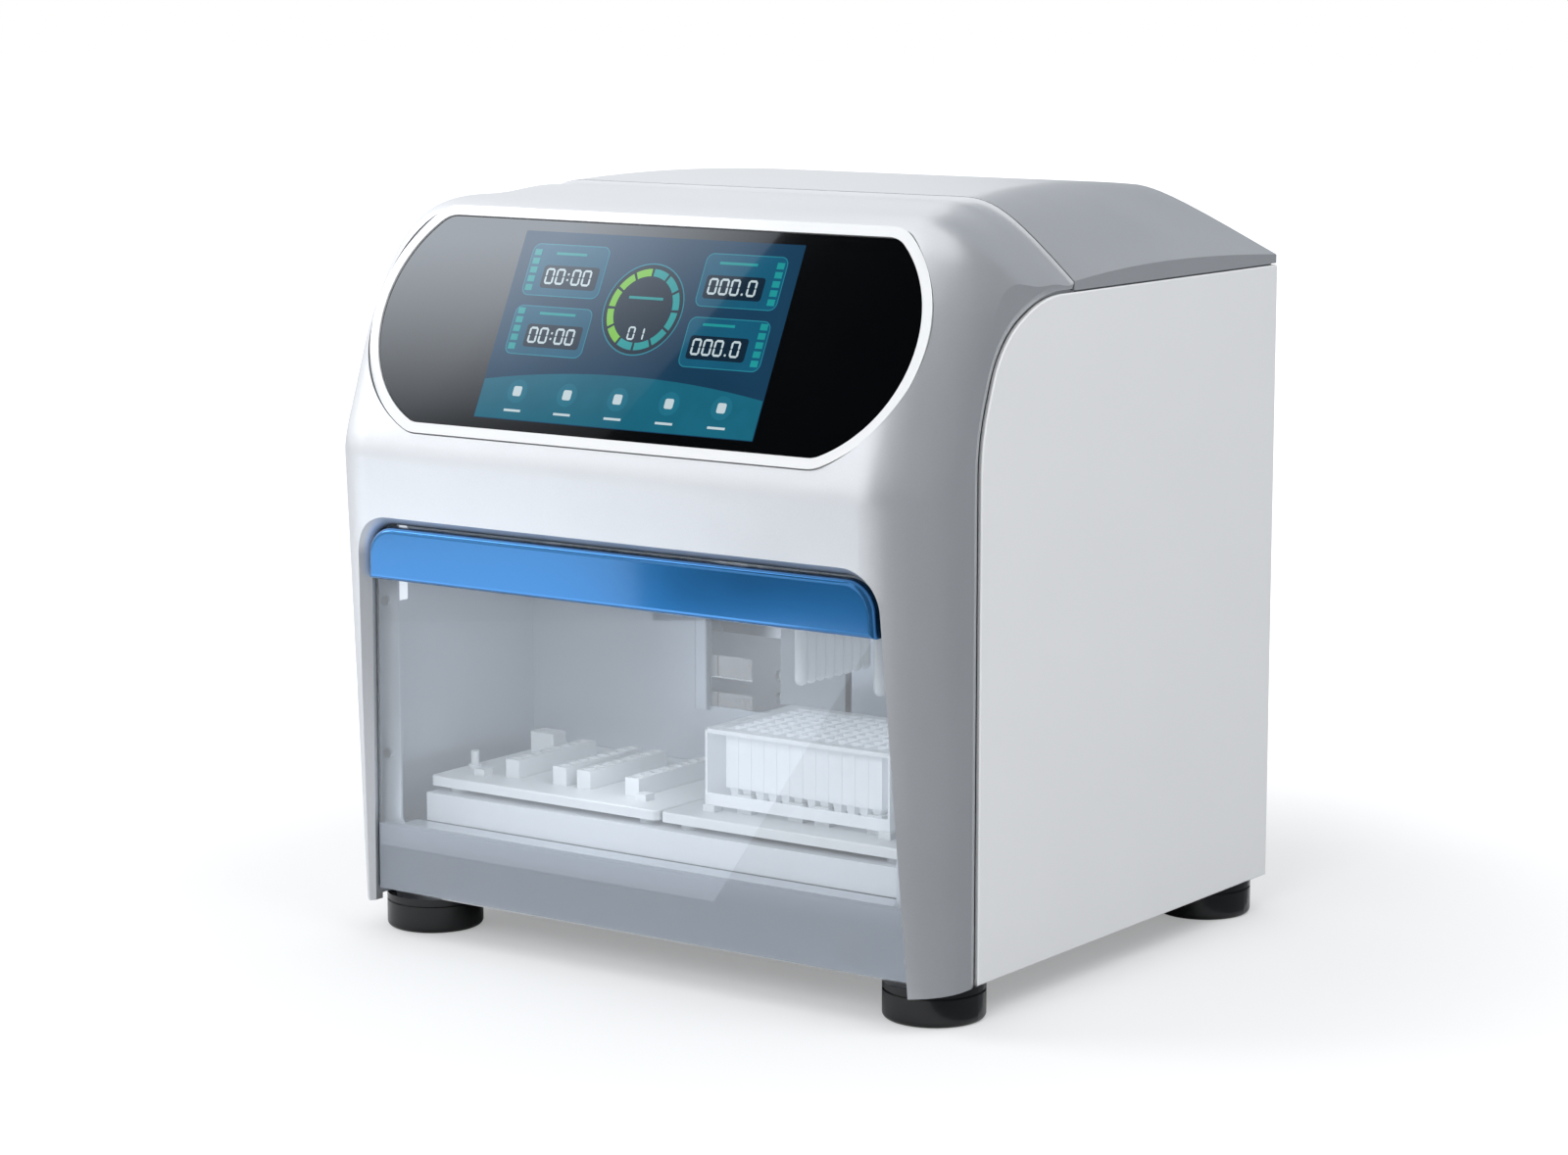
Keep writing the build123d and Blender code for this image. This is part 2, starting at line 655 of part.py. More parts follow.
def pedestal():
    """Hollow deck under the two trays."""
    low = FOOT_HEIGHT + FLOOR_SHEET
    front = LOWER_PANEL_Y + SHEET + 0.5
    deck = block(-PEDESTAL_X, PEDESTAL_X, front, CHAMBER_BACK_Y, SILL_Z, PEDESTAL_Z)
    deck += block(-PEDESTAL_X + 6, PEDESTAL_X - 6, front + 14, CHAMBER_BACK_Y, low, SILL_Z)
    hollow = block(-PEDESTAL_X + 9, PEDESTAL_X - 9, front + 17, CHAMBER_BACK_Y - 3, low - 1, PEDESTAL_Z - 3)
    return deck - hollow


def column_x(centre, column):
    """X of a well column, counted from 1 at the left of its tray."""
    return centre + (column - 6.5) * PITCH


def row_y(row):
    """Y of a well row, counted from 0 at the front."""
    return WELL_ROW_Y + (row - 3.5) * PITCH


def heater_bar(centre, column):
    """Heater bar with eight cups for the tips of one column of wells."""
    x = column_x(centre, column)
    half = RIB_WIDE / 2
    long = 4 * PITCH + 1.0
    bar = block(x - half, x + half, WELL_ROW_Y - long, WELL_ROW_Y + long, TRAY_TOP_Z, RIB_TOP_Z)
    for row in range(8):
        bar -= bar_z(x, row_y(row), 101.0, RIB_TOP_Z + 1, CUP_R)
    return bar


def tray(centre):
    """Heated tray on four short legs, with its bars and corner locators."""
    x0, x1 = (TRAY_SPLIT, PEDESTAL_X) if centre > 0 else (-PEDESTAL_X, -TRAY_SPLIT)
    low = TRAY_TOP_Z - TRAY_THICK
    slab = block(x0, x1, TRAY_FRONT_Y, CHAMBER_BACK_Y - 1, low, TRAY_TOP_Z)
    slab = fillet(slab.edges().filter_by(Axis.Z), 4.0)
    slab = fillet(slab.faces().sort_by(Axis.Z)[-1].edges(), 1.2)
    for x in (x0 + 14, x1 - 14):
        for y in (TRAY_FRONT_Y + 12, CHAMBER_BACK_Y - 13):
            slab += bar_z(x, y, PEDESTAL_Z, low, 6.0)
    for column in RIB_COLUMNS:
        slab += heater_bar(centre, column)
    seat_x = PLATE_LONG / 2
    seat_y = PLATE_WIDE / 2
    for sx in (1, -1):
        for sy in (1, -1):
            x, y = centre + sx * (seat_x - 3), WELL_ROW_Y + sy * (seat_y - 3)
            slab += block(x - 4, x + 4, y - 4, y + 4, TRAY_TOP_Z, PLATE_LOW_Z)
    return slab


def tray_sensor():
    """Small temperature sensor block beside the first heater bar."""
    x = column_x(-TRAY_X, 1) - 16
    body = block(x - 9, x + 9, -66, -52, TRAY_TOP_Z, TRAY_TOP_Z + 15)
    body = fillet(body.edges().filter_by(Axis.Z), 1.5)
    for dx in (-4, 4):
        body -= bar_z(x + dx, -59, TRAY_TOP_Z + 9, TRAY_TOP_Z + 16, 1.8)
    return body


def tray_pin():
    """Upright locating pin on the left tray."""
    x = column_x(-TRAY_X, 1) - 30
    return bar_z(x, -112, TRAY_TOP_Z, TRAY_TOP_Z + 10, 2.5) + bar_z(x, -112, TRAY_TOP_Z, TRAY_TOP_Z + 2, 4.0)


def well_plate():
    """Deep-well plate: frame, skirts and 96 square wells with tapered tips."""
    x0, x1 = TRAY_X - PLATE_LONG / 2, TRAY_X + PLATE_LONG / 2
    y0, y1 = WELL_ROW_Y - PLATE_WIDE / 2, WELL_ROW_Y + PLATE_WIDE / 2
    body = block(x0, x1, y0, y1, PLATE_TOP_Z - 2.5, PLATE_TOP_Z)
    body = fillet(body.edges().filter_by(Axis.Z), 3.0)
    long, wide = 12 * PITCH - 0.1, 8 * PITCH - 0.1
    body += block(TRAY_X - long / 2, TRAY_X + long / 2, WELL_ROW_Y - wide / 2, WELL_ROW_Y + wide / 2,
                  WELL_SHOULDER_Z, PLATE_TOP_Z - 2)
    skirt = block(x0, x1, y0, y1, PLATE_LOW_Z, PLATE_LOW_Z + 7)
    skirt -= block(x0 + 1.5, x1 - 1.5, y0 + 1.5, y1 - 1.5, PLATE_LOW_Z - 1, PLATE_LOW_Z + 8)
    for side in (x0, x1 - 1.5):
        skirt += block(side, side + 1.5, y0, y1, PLATE_LOW_Z, PLATE_TOP_Z - 1)
    body += skirt
    tip = Pos(0, 0, WELL_SHOULDER_Z) * Rectangle(WELL_TIP + WELL_TAPER, WELL_TIP + WELL_TAPER)
    tip_low = Pos(0, 0, WELL_TIP_Z) * Rectangle(WELL_TIP, WELL_TIP)
    cone = loft([tip_low, tip])
    cavity = block(-WELL_SIZE / 2, WELL_SIZE / 2, -WELL_SIZE / 2, WELL_SIZE / 2,
                   WELL_SHOULDER_Z + 1, PLATE_TOP_Z + 1)
    tips, cavities = [], []
    for column in range(1, 13):
        for row in range(8):
            place = Pos(column_x(TRAY_X, column), row_y(row), 0)
            tips.append(place * cone)
            cavities.append(place * cavity)
    body = body + tips
    body = body - cavities
    grooves = []
    for step in range(1, 12):
        x = column_x(TRAY_X, step) + PITCH / 2
        for y in (WELL_ROW_Y - wide / 2, WELL_ROW_Y + wide / 2):
            grooves.append(block(x - 0.35, x + 0.35, y - 0.35, y + 0.35, 90, PLATE_TOP_Z - 2.5))
    return body - grooves


# ------------------------------------------------------------------ moving head

def comb_positions():
    """X of each column that the head holds, over both trays."""
    return [column_x(centre, column) for centre in (-TRAY_X, TRAY_X) for column in COMB_COLUMNS]


def sleeve_comb(x):
    """Comb of eight closed sleeves hanging from one strip."""
    top = HOLDER_Z + HOLDER_THICK
    half = 4 * PITCH + 1.5
    comb = block(x - 6.4, x + 6.4, WELL_ROW_Y - half, WELL_ROW_Y + half, top, top + COMB_THICK)
    for row in range(8):
        y = row_y(row)
        tube = bar_z(x, y, SLEEVE_TIP_Z + SLEEVE_R, top, SLEEVE_R)
        tube += Pos(x, y, SLEEVE_TIP_Z + SLEEVE_R) * Sphere(SLEEVE_R)
        bore = bar_z(x, y, SLEEVE_TIP_Z + SLEEVE_R, top + 5, SLEEVE_R - SLEEVE_WALL)
        comb = comb + tube - bore
    return comb


def holder_outline(z0, z1):
    """Plate of the head, over both trays."""
    return block(HOLDER_X0, HOLDER_X1, WELL_ROW_Y - HOLDER_HALF_Y, WELL_ROW_Y + HOLDER_HALF_Y, z0, z1)


def sleeve_holder():
    """Slotted plate that carries the combs, with its upright arm and screw nut."""
    z0, z1 = HOLDER_Z, HOLDER_Z + HOLDER_THICK
    plate = holder_outline(z0, z1)
    for x in comb_positions():
        half = 4 * PITCH + 0.2
        plate -= block(x - 5.2, x + 5.2, WELL_ROW_Y - half, WELL_ROW_Y + half, z0 - 1, z1 + 1)
    back = WELL_ROW_Y + HOLDER_HALF_Y
    plate += block(MAST_X0 + 1, MAST_X1 - 1, back, -32, z0, z1)
    plate += block(MAST_X0 + 1, MAST_X1 - 1, -38, -32, z0, 300)
    runner = block(RAIL_X - 13, RAIL_X + 13, -32, MAST_Y0 - 2, 258, 298)
    groove = RAIL_HALF + GAP
    runner -= block(RAIL_X - groove, RAIL_X + groove, RAIL_FRONT_Y - GAP, 0, 250, 310)
    nut = block(LIFT_SCREW_X - 8, LIFT_SCREW_X + 8, -32, MAST_Y0 - 2, 262, 290)
    nut -= bar_z(LIFT_SCREW_X, LIFT_SCREW_Y, 250, 300, SCREW_R + NUT_CLEAR)
    plate = plate + runner + nut
    boss = bar_z(MAGNET_SCREW_X, WELL_ROW_Y, z1, z1 + 6, 7.0)
    boss -= bar_z(MAGNET_SCREW_X, WELL_ROW_Y, z1 + 2, z1 + 8, MAGNET_SCREW_R + 0.05)
    return plate + boss


def guide_post(x):
    """Ground post that the magnet plate slides on."""
    return bar_z(x, WELL_ROW_Y, HOLDER_Z + HOLDER_THICK, BRIDGE_Z, POST_R)


def magnet_bridge():
    """Bridge across the tops of the guide posts."""
    bridge = block(POST_X[0] - 8, POST_X[1] + 8, WELL_ROW_Y - 9, WELL_ROW_Y + 9, BRIDGE_Z, BRIDGE_Z + 4)
    x, y = MAGNET_SCREW_X, WELL_ROW_Y
    bridge += block(x - 18, x + 18, y - 18, y + 18, BRIDGE_Z, BRIDGE_Z + 4)
    return bridge - bar_z(x, y, BRIDGE_Z - 1, BRIDGE_Z + 5, MAGNET_SCREW_R + 0.05)


def square_motor(x, y, z0, z1, size):
    """Stepper motor standing along Z, with its corner edges cut."""
    body = block(x - size / 2, x + size / 2, y - size / 2, y + size / 2, z0, z1)
    return chamfer(body.edges().filter_by(Axis.Z), 3.0)


def magnet_plate():
    """Plate that carries the magnet rods and slides on the guide posts."""
    plate = holder_outline(MAGNET_PLATE_Z, MAGNET_PLATE_Z + 6)
    for x in POST_X:
        plate += bar_z(x, WELL_ROW_Y, MAGNET_PLATE_Z, MAGNET_PLATE_Z + 14, 9.0)
        plate -= bar_z(x, WELL_ROW_Y, MAGNET_PLATE_Z - 1, MAGNET_PLATE_Z + 15, POST_R + PIN_FIT)
    plate += bar_z(MAGNET_SCREW_X, WELL_ROW_Y, MAGNET_PLATE_Z, MAGNET_PLATE_Z + 14, 8.0)
    return plate - bar_z(MAGNET_SCREW_X, WELL_ROW_Y, MAGNET_PLATE_Z - 1, MAGNET_PLATE_Z + 15,
                         MAGNET_SCREW_R + NUT_CLEAR)


def magnet_rods():
    """Thirty-two magnet rods, eight above each comb position."""
    rods = []
    for x in comb_positions():
        for row in range(8):
            rods.append(bar_z(x, row_y(row), MAGNET_TIP_Z, MAGNET_PLATE_Z, MAGNET_R))
    return rods


def mast():
    """Upright plate of the carriage with runners for the cross rails and a nut."""
    plate = block(MAST_X0, MAST_X1, MAST_Y0, MAST_Y1, MAST_LOW_Z, MAST_TOP_Z)
    for z in CROSS_RAIL_Z:
        runner = block(MAST_X0 + 3, MAST_X1 - 3, MAST_Y1, GANTRY_Y - 2, z - 12, z + 12)
        half = CROSS_RAIL_HALF + GAP
        runner -= block(MAST_X0, MAST_X1, CROSS_RAIL_Y0 - GAP, GANTRY_Y + 1, z - half, z + half)
        plate += runner
    nut = block(MAST_X0 + 6, MAST_X1 - 6, MAST_Y1, GANTRY_Y - 3, CROSS_SCREW_Z - 9, CROSS_SCREW_Z + 9)
    nut -= bar_x(MAST_X0, MAST_X1, CROSS_SCREW_Y, CROSS_SCREW_Z, SCREW_R + NUT_CLEAR)
    plate += nut
    low = block(LIFT_SCREW_X - 7, LIFT_SCREW_X + 7, LIFT_SCREW_Y - 7, MAST_Y0, 180, 188)
    low -= bar_z(LIFT_SCREW_X, LIFT_SCREW_Y, 182, 190, SCREW_R + 0.05)
    plate += low
    x, y = LIFT_SCREW_X, LIFT_SCREW_Y
    shelf = block(x - 22, x + 22, y - 21, MAST_Y1, MAST_TOP_Z, MAST_TOP_Z + 4)
    shelf -= bar_z(x, y, 380, 400, SCREW_R + 0.05)
    return plate + shelf


def lift_rail():
    """Upright linear rail on the mast."""
    return block(RAIL_X - RAIL_HALF, RAIL_X + RAIL_HALF, RAIL_FRONT_Y, MAST_Y0, 190, 386)


# -------------------------------------------------------------- fixed mechanics

def gantry():
    """Fixed upright plate behind the chamber, with two windows and a foot flange."""
    y0, y1 = GANTRY_Y, GANTRY_Y + GANTRY_THICK
    low = FOOT_HEIGHT + FLOOR_SHEET
    plate = block(-GANTRY_HALF_X, GANTRY_HALF_X, y0, y1, low, GANTRY_TOP_Z)
    for z0, z1 in ((192, 238), (286, 332)):
        for x0, x1 in ((-95, -15), (15, 95)):
            plate -= block(x0, x1, y0 - 1, y1 + 1, z0, z1)
    for z0, z1 in ((139, 153), (119, 130)):
        plate -= block(-86, -54, y0 - 1, y1 + 1, z0, z1)
    for z in (131, 145):
        plate -= bar_y(-33, y0 - 1, y1 + 1, z, 3.5)
    plate += block(-GANTRY_HALF_X, GANTRY_HALF_X, y1, y1 + 26, low, low + GANTRY_THICK)
    for side in (1, -1):
        gusset = make_face(Polyline((y1, low), (y1 + 26, low), (y1, 180), close=True))
        x = side * (GANTRY_HALF_X - 4)
        plate += side_slab(gusset, min(x, x - side * 4), max(x, x - side * 4))
    return plate


def cross_rail(z):
    """Fixed rail along X on the gantry."""
    y0 = CROSS_RAIL_Y0
    return block(-115, 115, y0, GANTRY_Y, z - CROSS_RAIL_HALF, z + CROSS_RAIL_HALF)


def cross_bearing(x):
    """Bearing block at one end of the cross screw."""
    body = block(x - 4, x + 4, CROSS_SCREW_Y - 8, GANTRY_Y, CROSS_SCREW_Z - 9, CROSS_SCREW_Z + 9)
    return body - bar_x(x - 5, x + 5, CROSS_SCREW_Y, CROSS_SCREW_Z, SCREW_R + 0.05)


def cross_motor():
    """Stepper motor at the left end of the cross screw, on its bracket."""
    x1 = -GANTRY_HALF_X - 6
    body = block(x1 - 34, x1, CROSS_SCREW_Y - 21, CROSS_SCREW_Y + 21, CROSS_SCREW_Z - 21, CROSS_SCREW_Z + 21)
    body = chamfer(body.edges().filter_by(Axis.X), 3.0)
    bracket = block(x1, x1 + 3, CROSS_SCREW_Y - 21, GANTRY_Y, CROSS_SCREW_Z - 21, CROSS_SCREW_Z + 21)
    bracket += block(x1, -GANTRY_HALF_X + 7, GANTRY_Y - 3, GANTRY_Y, CROSS_SCREW_Z - 21, CROSS_SCREW_Z + 21)
    bracket -= bar_x(x1 - 1, x1 + 4, CROSS_SCREW_Y, CROSS_SCREW_Z, SCREW_R + 1)
    return body, bracket


def power_supply():
    """Enclosed power supply with its slotted lid."""
    box = block(-190, -82, 66, 176, FOOT_HEIGHT + FLOOR_SHEET, 66)
    for step in range(8):
        x = -180 + step * 12
        box -= block(x, x + 5, 90, 150, 64, 70)
    return box


def drive_board():
    """Motor driver board on four posts."""
    low = FOOT_HEIGHT + FLOOR_SHEET
    board = block(-40, 80, 72, 158, low + 8, low + 9.6)
    for x in (-34, 74):
        for y in (78, 152):
            board += bar_z(x, y, low, low + 8, 3.0)
    for step in range(4):
        board += block(-30 + step * 26, -16 + step * 26, 90, 112, low + 9.6, low + 20)
    return board


# ------------------------------------------------------------------ rear fittings

def fan_frame():
    """Square axial fan housing inside the rear panel, with its hub spokes."""
    y0, y1 = REAR_Y - 27, REAR_Y - 2
    frame = block(FAN_X - 40, FAN_X + 40, y0, y1, FAN_Z - 40, FAN_Z + 40)
    frame = fillet(frame.edges().filter_by(Axis.Y), 4.0)
    frame -= bar_y(FAN_X, y0 - 1, y1 + 1, FAN_Z, FAN_R)
    for turn in range(4):
        spoke = block(-1.5, 1.5, y0, y0 + 3, 14, FAN_R + 1)
        frame += Pos(FAN_X, 0, FAN_Z) * Rot(0, 45 + 90 * turn, 0) * spoke
    frame += bar_y(FAN_X, y0, y0 + 3, FAN_Z, 15)
    return frame + bar_y(FAN_X, y0 + 3, y0 + 12, FAN_Z, 3.0)


def fan_rotor():
    """Fan hub with seven pitched blades."""
    y0, y1 = REAR_Y - 22.5, REAR_Y - 6
    hub = bar_y(FAN_X, y0, y1, FAN_Z, 14)
    hub -= bar_y(FAN_X, y0 - 1, y0 + 8.5, FAN_Z, 3.05)
    middle = (y0 + y1) / 2
    for turn in range(7):
        blade = Pos(0, middle, 0) * Rot(0, 0, 38) * Box(2.0, 18, 24)
        blade = Rot(0, turn * 360 / 7, 0) * Pos(0, 0, 24.5) * blade
        hub += Pos(FAN_X, 0, FAN_Z) * blade
    return hub & bar_y(FAN_X, y0 + 0.5 - 1, y1 + 1, FAN_Z, FAN_R - 1.2)


def fan_guard():
    """Wire finger guard: three rings, two cross wires and four corner eyes."""
    y0, y1 = REAR_Y, REAR_Y + REAR_PROUD
    guard = bar_y(FAN_X, y0, y0 + 1.4, FAN_Z, 12)
    for radius in (20.0, 28.0, 36.0):
        ring = bar_y(FAN_X, y0, y0 + 1.4, FAN_Z, radius) - bar_y(FAN_X, y0 - 1, y1 + 1, FAN_Z, radius - 1.6)
        guard += ring
    for turn in (45, 135, 225, 315):
        wire = block(-0.9, 0.9, y0, y1, 10, 52)
        guard += Pos(FAN_X, 0, FAN_Z) * Rot(0, turn, 0) * wire
        eye = Pos(FAN_X, 0, FAN_Z) * Rot(0, turn, 0) * bar_y(0, y0, y1, 50.5, 4.0)
        guard += eye
    return guard


def power_inlet():
    """Mains inlet socket with three blades in its recess."""
    body = block(INLET_X - 13.6, INLET_X + 13.6, REAR_Y - 26, REAR_Y, INLET_Z - 10.6, INLET_Z + 10.6)
    flange = block(INLET_X - 20, INLET_X + 20, REAR_Y, REAR_Y + REAR_PROUD, INLET_Z - 13, INLET_Z + 13)
    flange = fillet(flange.edges().filter_by(Axis.Y), 4.0)
    recess = block(INLET_X - 12, INLET_X + 12, REAR_Y - 16, REAR_Y + 5, INLET_Z - 8, INLET_Z + 8)
    recess = chamfer(recess.edges().filter_by(Axis.Y).sort_by(Axis.Z)[-2:], 4.0)
    inlet = body + flange - recess
    for dx, dz in ((-7, -1), (0, 3), (7, -1)):
        x, z = INLET_X + dx, INLET_Z + dz
        inlet += block(x - 1, x + 1, REAR_Y - 17, REAR_Y - 2, z - 2, z + 2)
    return inlet


def switch_frame():
    """Frame of the rocker switch, with its pivot pin."""
    y1 = REAR_Y + 1.2
    body = block(INLET_X - 10, INLET_X + 10, REAR_Y - 20, REAR_Y, SWITCH_Z - 13.6, SWITCH_Z + 13.6)
    body += block(INLET_X - 12.5, INLET_X + 12.5, REAR_Y, y1, SWITCH_Z - 16, SWITCH_Z + 16)
    body -= block(INLET_X - 8, INLET_X + 8, REAR_Y - 14, REAR_Y + 5, SWITCH_Z - 11.5, SWITCH_Z + 11.5)
    return body + bar_x(INLET_X - 8.5, INLET_X + 8.5, REAR_Y - 4, SWITCH_Z, 1.5)


def power_rocker():
    """Rocker of the switch, at rest with its upper half pressed in."""
    centre = (REAR_Y - 4, SWITCH_Z)
    outline = Polyline((-3, -10), (3.2, -10), (4.4, 0), (3.2, 10), (-3, 10), close=True)
    rocker = side_slab(make_face(outline), INLET_X - 7.6, INLET_X + 7.6)
    rocker -= bar_x(INLET_X - 9, INLET_X + 9, 0, 0, 1.55)
    return Pos(0, centre[0], centre[1]) * Rot(ROCKER_TILT, 0, 0) * rocker


def data_ports():
    """Two USB sockets and a network socket on one small board."""
    board = block(24, 82, REAR_Y - 34, REAR_Y - 4, 50.6, 52.2)
    sockets = []
    for x0, x1, high in ((32, 45.5, 60), (48, 58, 63), (60, 74.5, 68)):
        shell = block(x0, x1, REAR_Y - 22, REAR_Y + 1.0, 53.6, high + 1)
        shell += block(x0, x1, REAR_Y - 22, REAR_Y - 5, 52.2, 54)
        shell -= block(x0 + 1, x1 - 1, REAR_Y - 16, REAR_Y + 2, 54.8, high)
        sockets.append(shell)
    for socket in sockets:
        board += socket
    board += block(28, 34, REAR_Y - 30, REAR_Y - 24, 23.2, 50.6)
    return board + block(70, 76, REAR_Y - 30, REAR_Y - 24, 23.2, 50.6)


def frame_screws():
    """Pan-head screws on the chamber's front frame."""
    screws = []
    for side in (1, -1):
        for z in (110.0, 202.0):
            x = side * (FRAME_OPEN_X + 9)
            head = bar_y(x, CHAMBER_FRONT_Y - SHEET - 1.6, CHAMBER_FRONT_Y - SHEET, z, 3.0)
            screws.append(head)
    return screws


def rear_screws():
    """Screws round the edge of the rear panel."""
    screws = []
    for x in (-196.0, 0.0, 196.0):
        for z in (36.0, 210.0, 384.0):
            if x or z != 210.0:
                screws.append(bar_y(x, REAR_Y, REAR_Y + 1.6, z, 3.2))
    return screws


def door_magnets():
    """Two magnets on the front frame that hold the door shut."""
    magnets = []
    for side in (1, -1):
        x = side * MAGNET_X
        low, high = DOOR_MAGNET_Z - 5, DOOR_MAGNET_Z + 5
        front = DOOR_FOOT_Y + DOOR_THICK - (low - DOOR_FOOT_Z) * tan(radians(DOOR_LEAN)) + GAP
        magnets.append(block(x - 8, x + 8, front, CHAMBER_FRONT_Y - SHEET, low, high))
    return magnets


def uv_lamp():
    """Germicidal tube under the chamber's roof."""
    return bar_x(-150, 150, -140, 300, 8.0)


def lamp_holders():
    """Lamp holders from the chamber walls to the ends of the tube."""
    holders = []
    for shape in both_sides(block(150, CHAMBER_X, -149, -131, 291, 309)):
        holders.append(shape)
    return holders


def light_strip():
    """Strip light along the inside of the left wall's front edge."""
    return block(-CHAMBER_X, -CHAMBER_X + 6, -156, -144, 200, 290)


def build_all():
    """Build every piece and write its file."""
    save("front_shell", front_shell())
    save("top_cover", top_cover())
    panel = side_panel()
    save("side_panel_right", panel)
    save("side_panel_left", mirror(panel, Plane.YZ))
    save("rear_panel", rear_panel())
    save("base_plate", base_plate())
    save("feet", *[foot(x, y) for x in (-FOOT_X, FOOT_X) for y in FOOT_Y])
    save("display_bezel", display_bezel())
    save("display_glass", display_glass())
    save("display_screen", display_screen())
    save("display_bracket", display_bracket())
    save("display_board", display_board())
    save("door_glass", door_glass())
    save("door_grip", door_grip())
    save("door_knuckles", door_knuckle(-HINGE_X), door_knuckle(HINGE_X))
    save("hinge_brackets", hinge_bracket(-HINGE_X), hinge_bracket(HINGE_X))
    save("hinge_pins", hinge_pin(-HINGE_X), hinge_pin(HINGE_X))
    save("door_magnets", *door_magnets())
    save("front_frame", front_frame())
    save("frame_screws", *frame_screws())
    save("lower_panel", lower_panel())
    wall = chamber_side()
    save("chamber_wall_right", wall)
    save("chamber_wall_left", mirror(wall, Plane.YZ))
    save("chamber_back", chamber_back())
    save("pedestal", pedestal())
    save("tray_left", tray(-TRAY_X) + tray_pin())
    save("tray_right", tray(TRAY_X))
    save("tray_sensor", tray_sensor())
    save("well_plate", well_plate())
    save("uv_lamp", uv_lamp())
    save("lamp_holders", *lamp_holders())
    save("light_strip", light_strip())
    combs = [sleeve_comb(column_x(TRAY_X, column)) for column in COMB_COLUMNS]
    save("sleeve_combs", *combs)
    save("sleeve_holder", sleeve_holder())
    save("guide_posts", *[guide_post(x) for x in POST_X])
    save("magnet_bridge", magnet_bridge())
    save("magnet_motor", square_motor(MAGNET_SCREW_X, WELL_ROW_Y, BRIDGE_Z + 4, BRIDGE_Z + 34, 35))
    low, top = HOLDER_Z + HOLDER_THICK + 2.3, BRIDGE_Z + 3.7
    save("magnet_screw", bar_z(MAGNET_SCREW_X, WELL_ROW_Y, low, top, MAGNET_SCREW_R))
    save("magnet_plate", magnet_plate())
    save("magnet_rods", *magnet_rods())
    save("mast", mast())
    save("lift_rail", lift_rail())
    save("lift_screw", bar_z(LIFT_SCREW_X, LIFT_SCREW_Y, 182.3, MAST_TOP_Z + 3.7, SCREW_R))
    save("lift_motor", square_motor(LIFT_SCREW_X, LIFT_SCREW_Y, MAST_TOP_Z + 4, MAST_TOP_Z + 38, 42))
    save("gantry", gantry())
    save("cross_rails", *[cross_rail(z) for z in CROSS_RAIL_Z])
    save("cross_bearings", cross_bearing(-108), cross_bearing(108))
    save("cross_screw", bar_x(-GANTRY_HALF_X - 5.7, 112, CROSS_SCREW_Y, CROSS_SCREW_Z, SCREW_R))
    motor, bracket = cross_motor()
    save("cross_motor", motor)
    save("cross_motor_bracket", bracket)
    save("power_supply", power_supply())
    save("drive_board", drive_board())
    save("fan_frame", fan_frame())
    save("fan_rotor", fan_rotor())
    save("fan_guard", fan_guard())
    save("power_inlet", power_inlet())
    save("switch_frame", switch_frame())
    save("power_rocker", power_rocker())
    save("data_ports", data_ports())
    save("rear_screws", *rear_screws())


build_all()
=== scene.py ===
import bpy
import json
from math import cos, radians, sin
from mathutils import Matrix, Vector


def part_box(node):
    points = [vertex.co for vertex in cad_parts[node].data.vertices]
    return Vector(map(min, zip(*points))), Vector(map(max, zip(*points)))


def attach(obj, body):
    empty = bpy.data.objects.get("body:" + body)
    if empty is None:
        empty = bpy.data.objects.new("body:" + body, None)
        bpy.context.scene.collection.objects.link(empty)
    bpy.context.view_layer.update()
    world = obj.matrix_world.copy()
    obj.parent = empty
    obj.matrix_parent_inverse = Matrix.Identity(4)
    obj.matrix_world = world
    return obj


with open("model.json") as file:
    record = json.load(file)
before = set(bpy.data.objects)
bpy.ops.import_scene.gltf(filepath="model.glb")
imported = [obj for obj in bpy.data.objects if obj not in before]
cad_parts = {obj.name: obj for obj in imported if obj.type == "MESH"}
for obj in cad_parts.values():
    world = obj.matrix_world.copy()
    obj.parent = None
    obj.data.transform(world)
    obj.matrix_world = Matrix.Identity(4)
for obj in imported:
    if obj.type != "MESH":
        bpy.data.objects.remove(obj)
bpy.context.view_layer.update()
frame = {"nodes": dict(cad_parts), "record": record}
NODES = frame["nodes"]
SCENE = bpy.context.scene


# ------------------------------------------------------------------ node helpers

def new_material(name):
    """An empty node material with its output."""
    mat = bpy.data.materials.new(name)
    mat.use_nodes = True
    mat.node_tree.nodes.clear()
    out = mat.node_tree.nodes.new("ShaderNodeOutputMaterial")
    return mat, mat.node_tree, out


def feed(tree, value, socket):
    """Links a value that is a node's output, and sets one that is a number or a colour."""
    if isinstance(value, bpy.types.NodeSocket):
        tree.links.new(value, socket)
    else:
        socket.default_value = value


def add(tree, kind, **values):
    """A node, with its named sockets fed."""
    node = tree.nodes.new(kind)
    for key, value in values.items():
        feed(tree, value, node.inputs[key.replace("_", " ")])
    return node


def remap(tree, source, start, end, low, high):
    """Maps start to end onto low to high, clamped."""
    node = add(tree, "ShaderNodeMapRange", Value=source, From_Min=start, From_Max=end,
               To_Min=low, To_Max=high)
    return node.outputs["Result"]


def maths(tree, operation, one, two):
    """One step of arithmetic."""
    node = tree.nodes.new("ShaderNodeMath")
    node.operation = operation
    feed(tree, one, node.inputs[0])
    feed(tree, two, node.inputs[1])
    return node.outputs["Value"]


def mix_colour(tree, share, one, two):
    """From the first colour to the second, by a share."""
    node = tree.nodes.new("ShaderNodeMix")
    node.data_type = "RGBA"
    feed(tree, share, node.inputs["Factor"])
    feed(tree, one, node.inputs["A"])
    feed(tree, two, node.inputs["B"])
    return node.outputs["Result"]


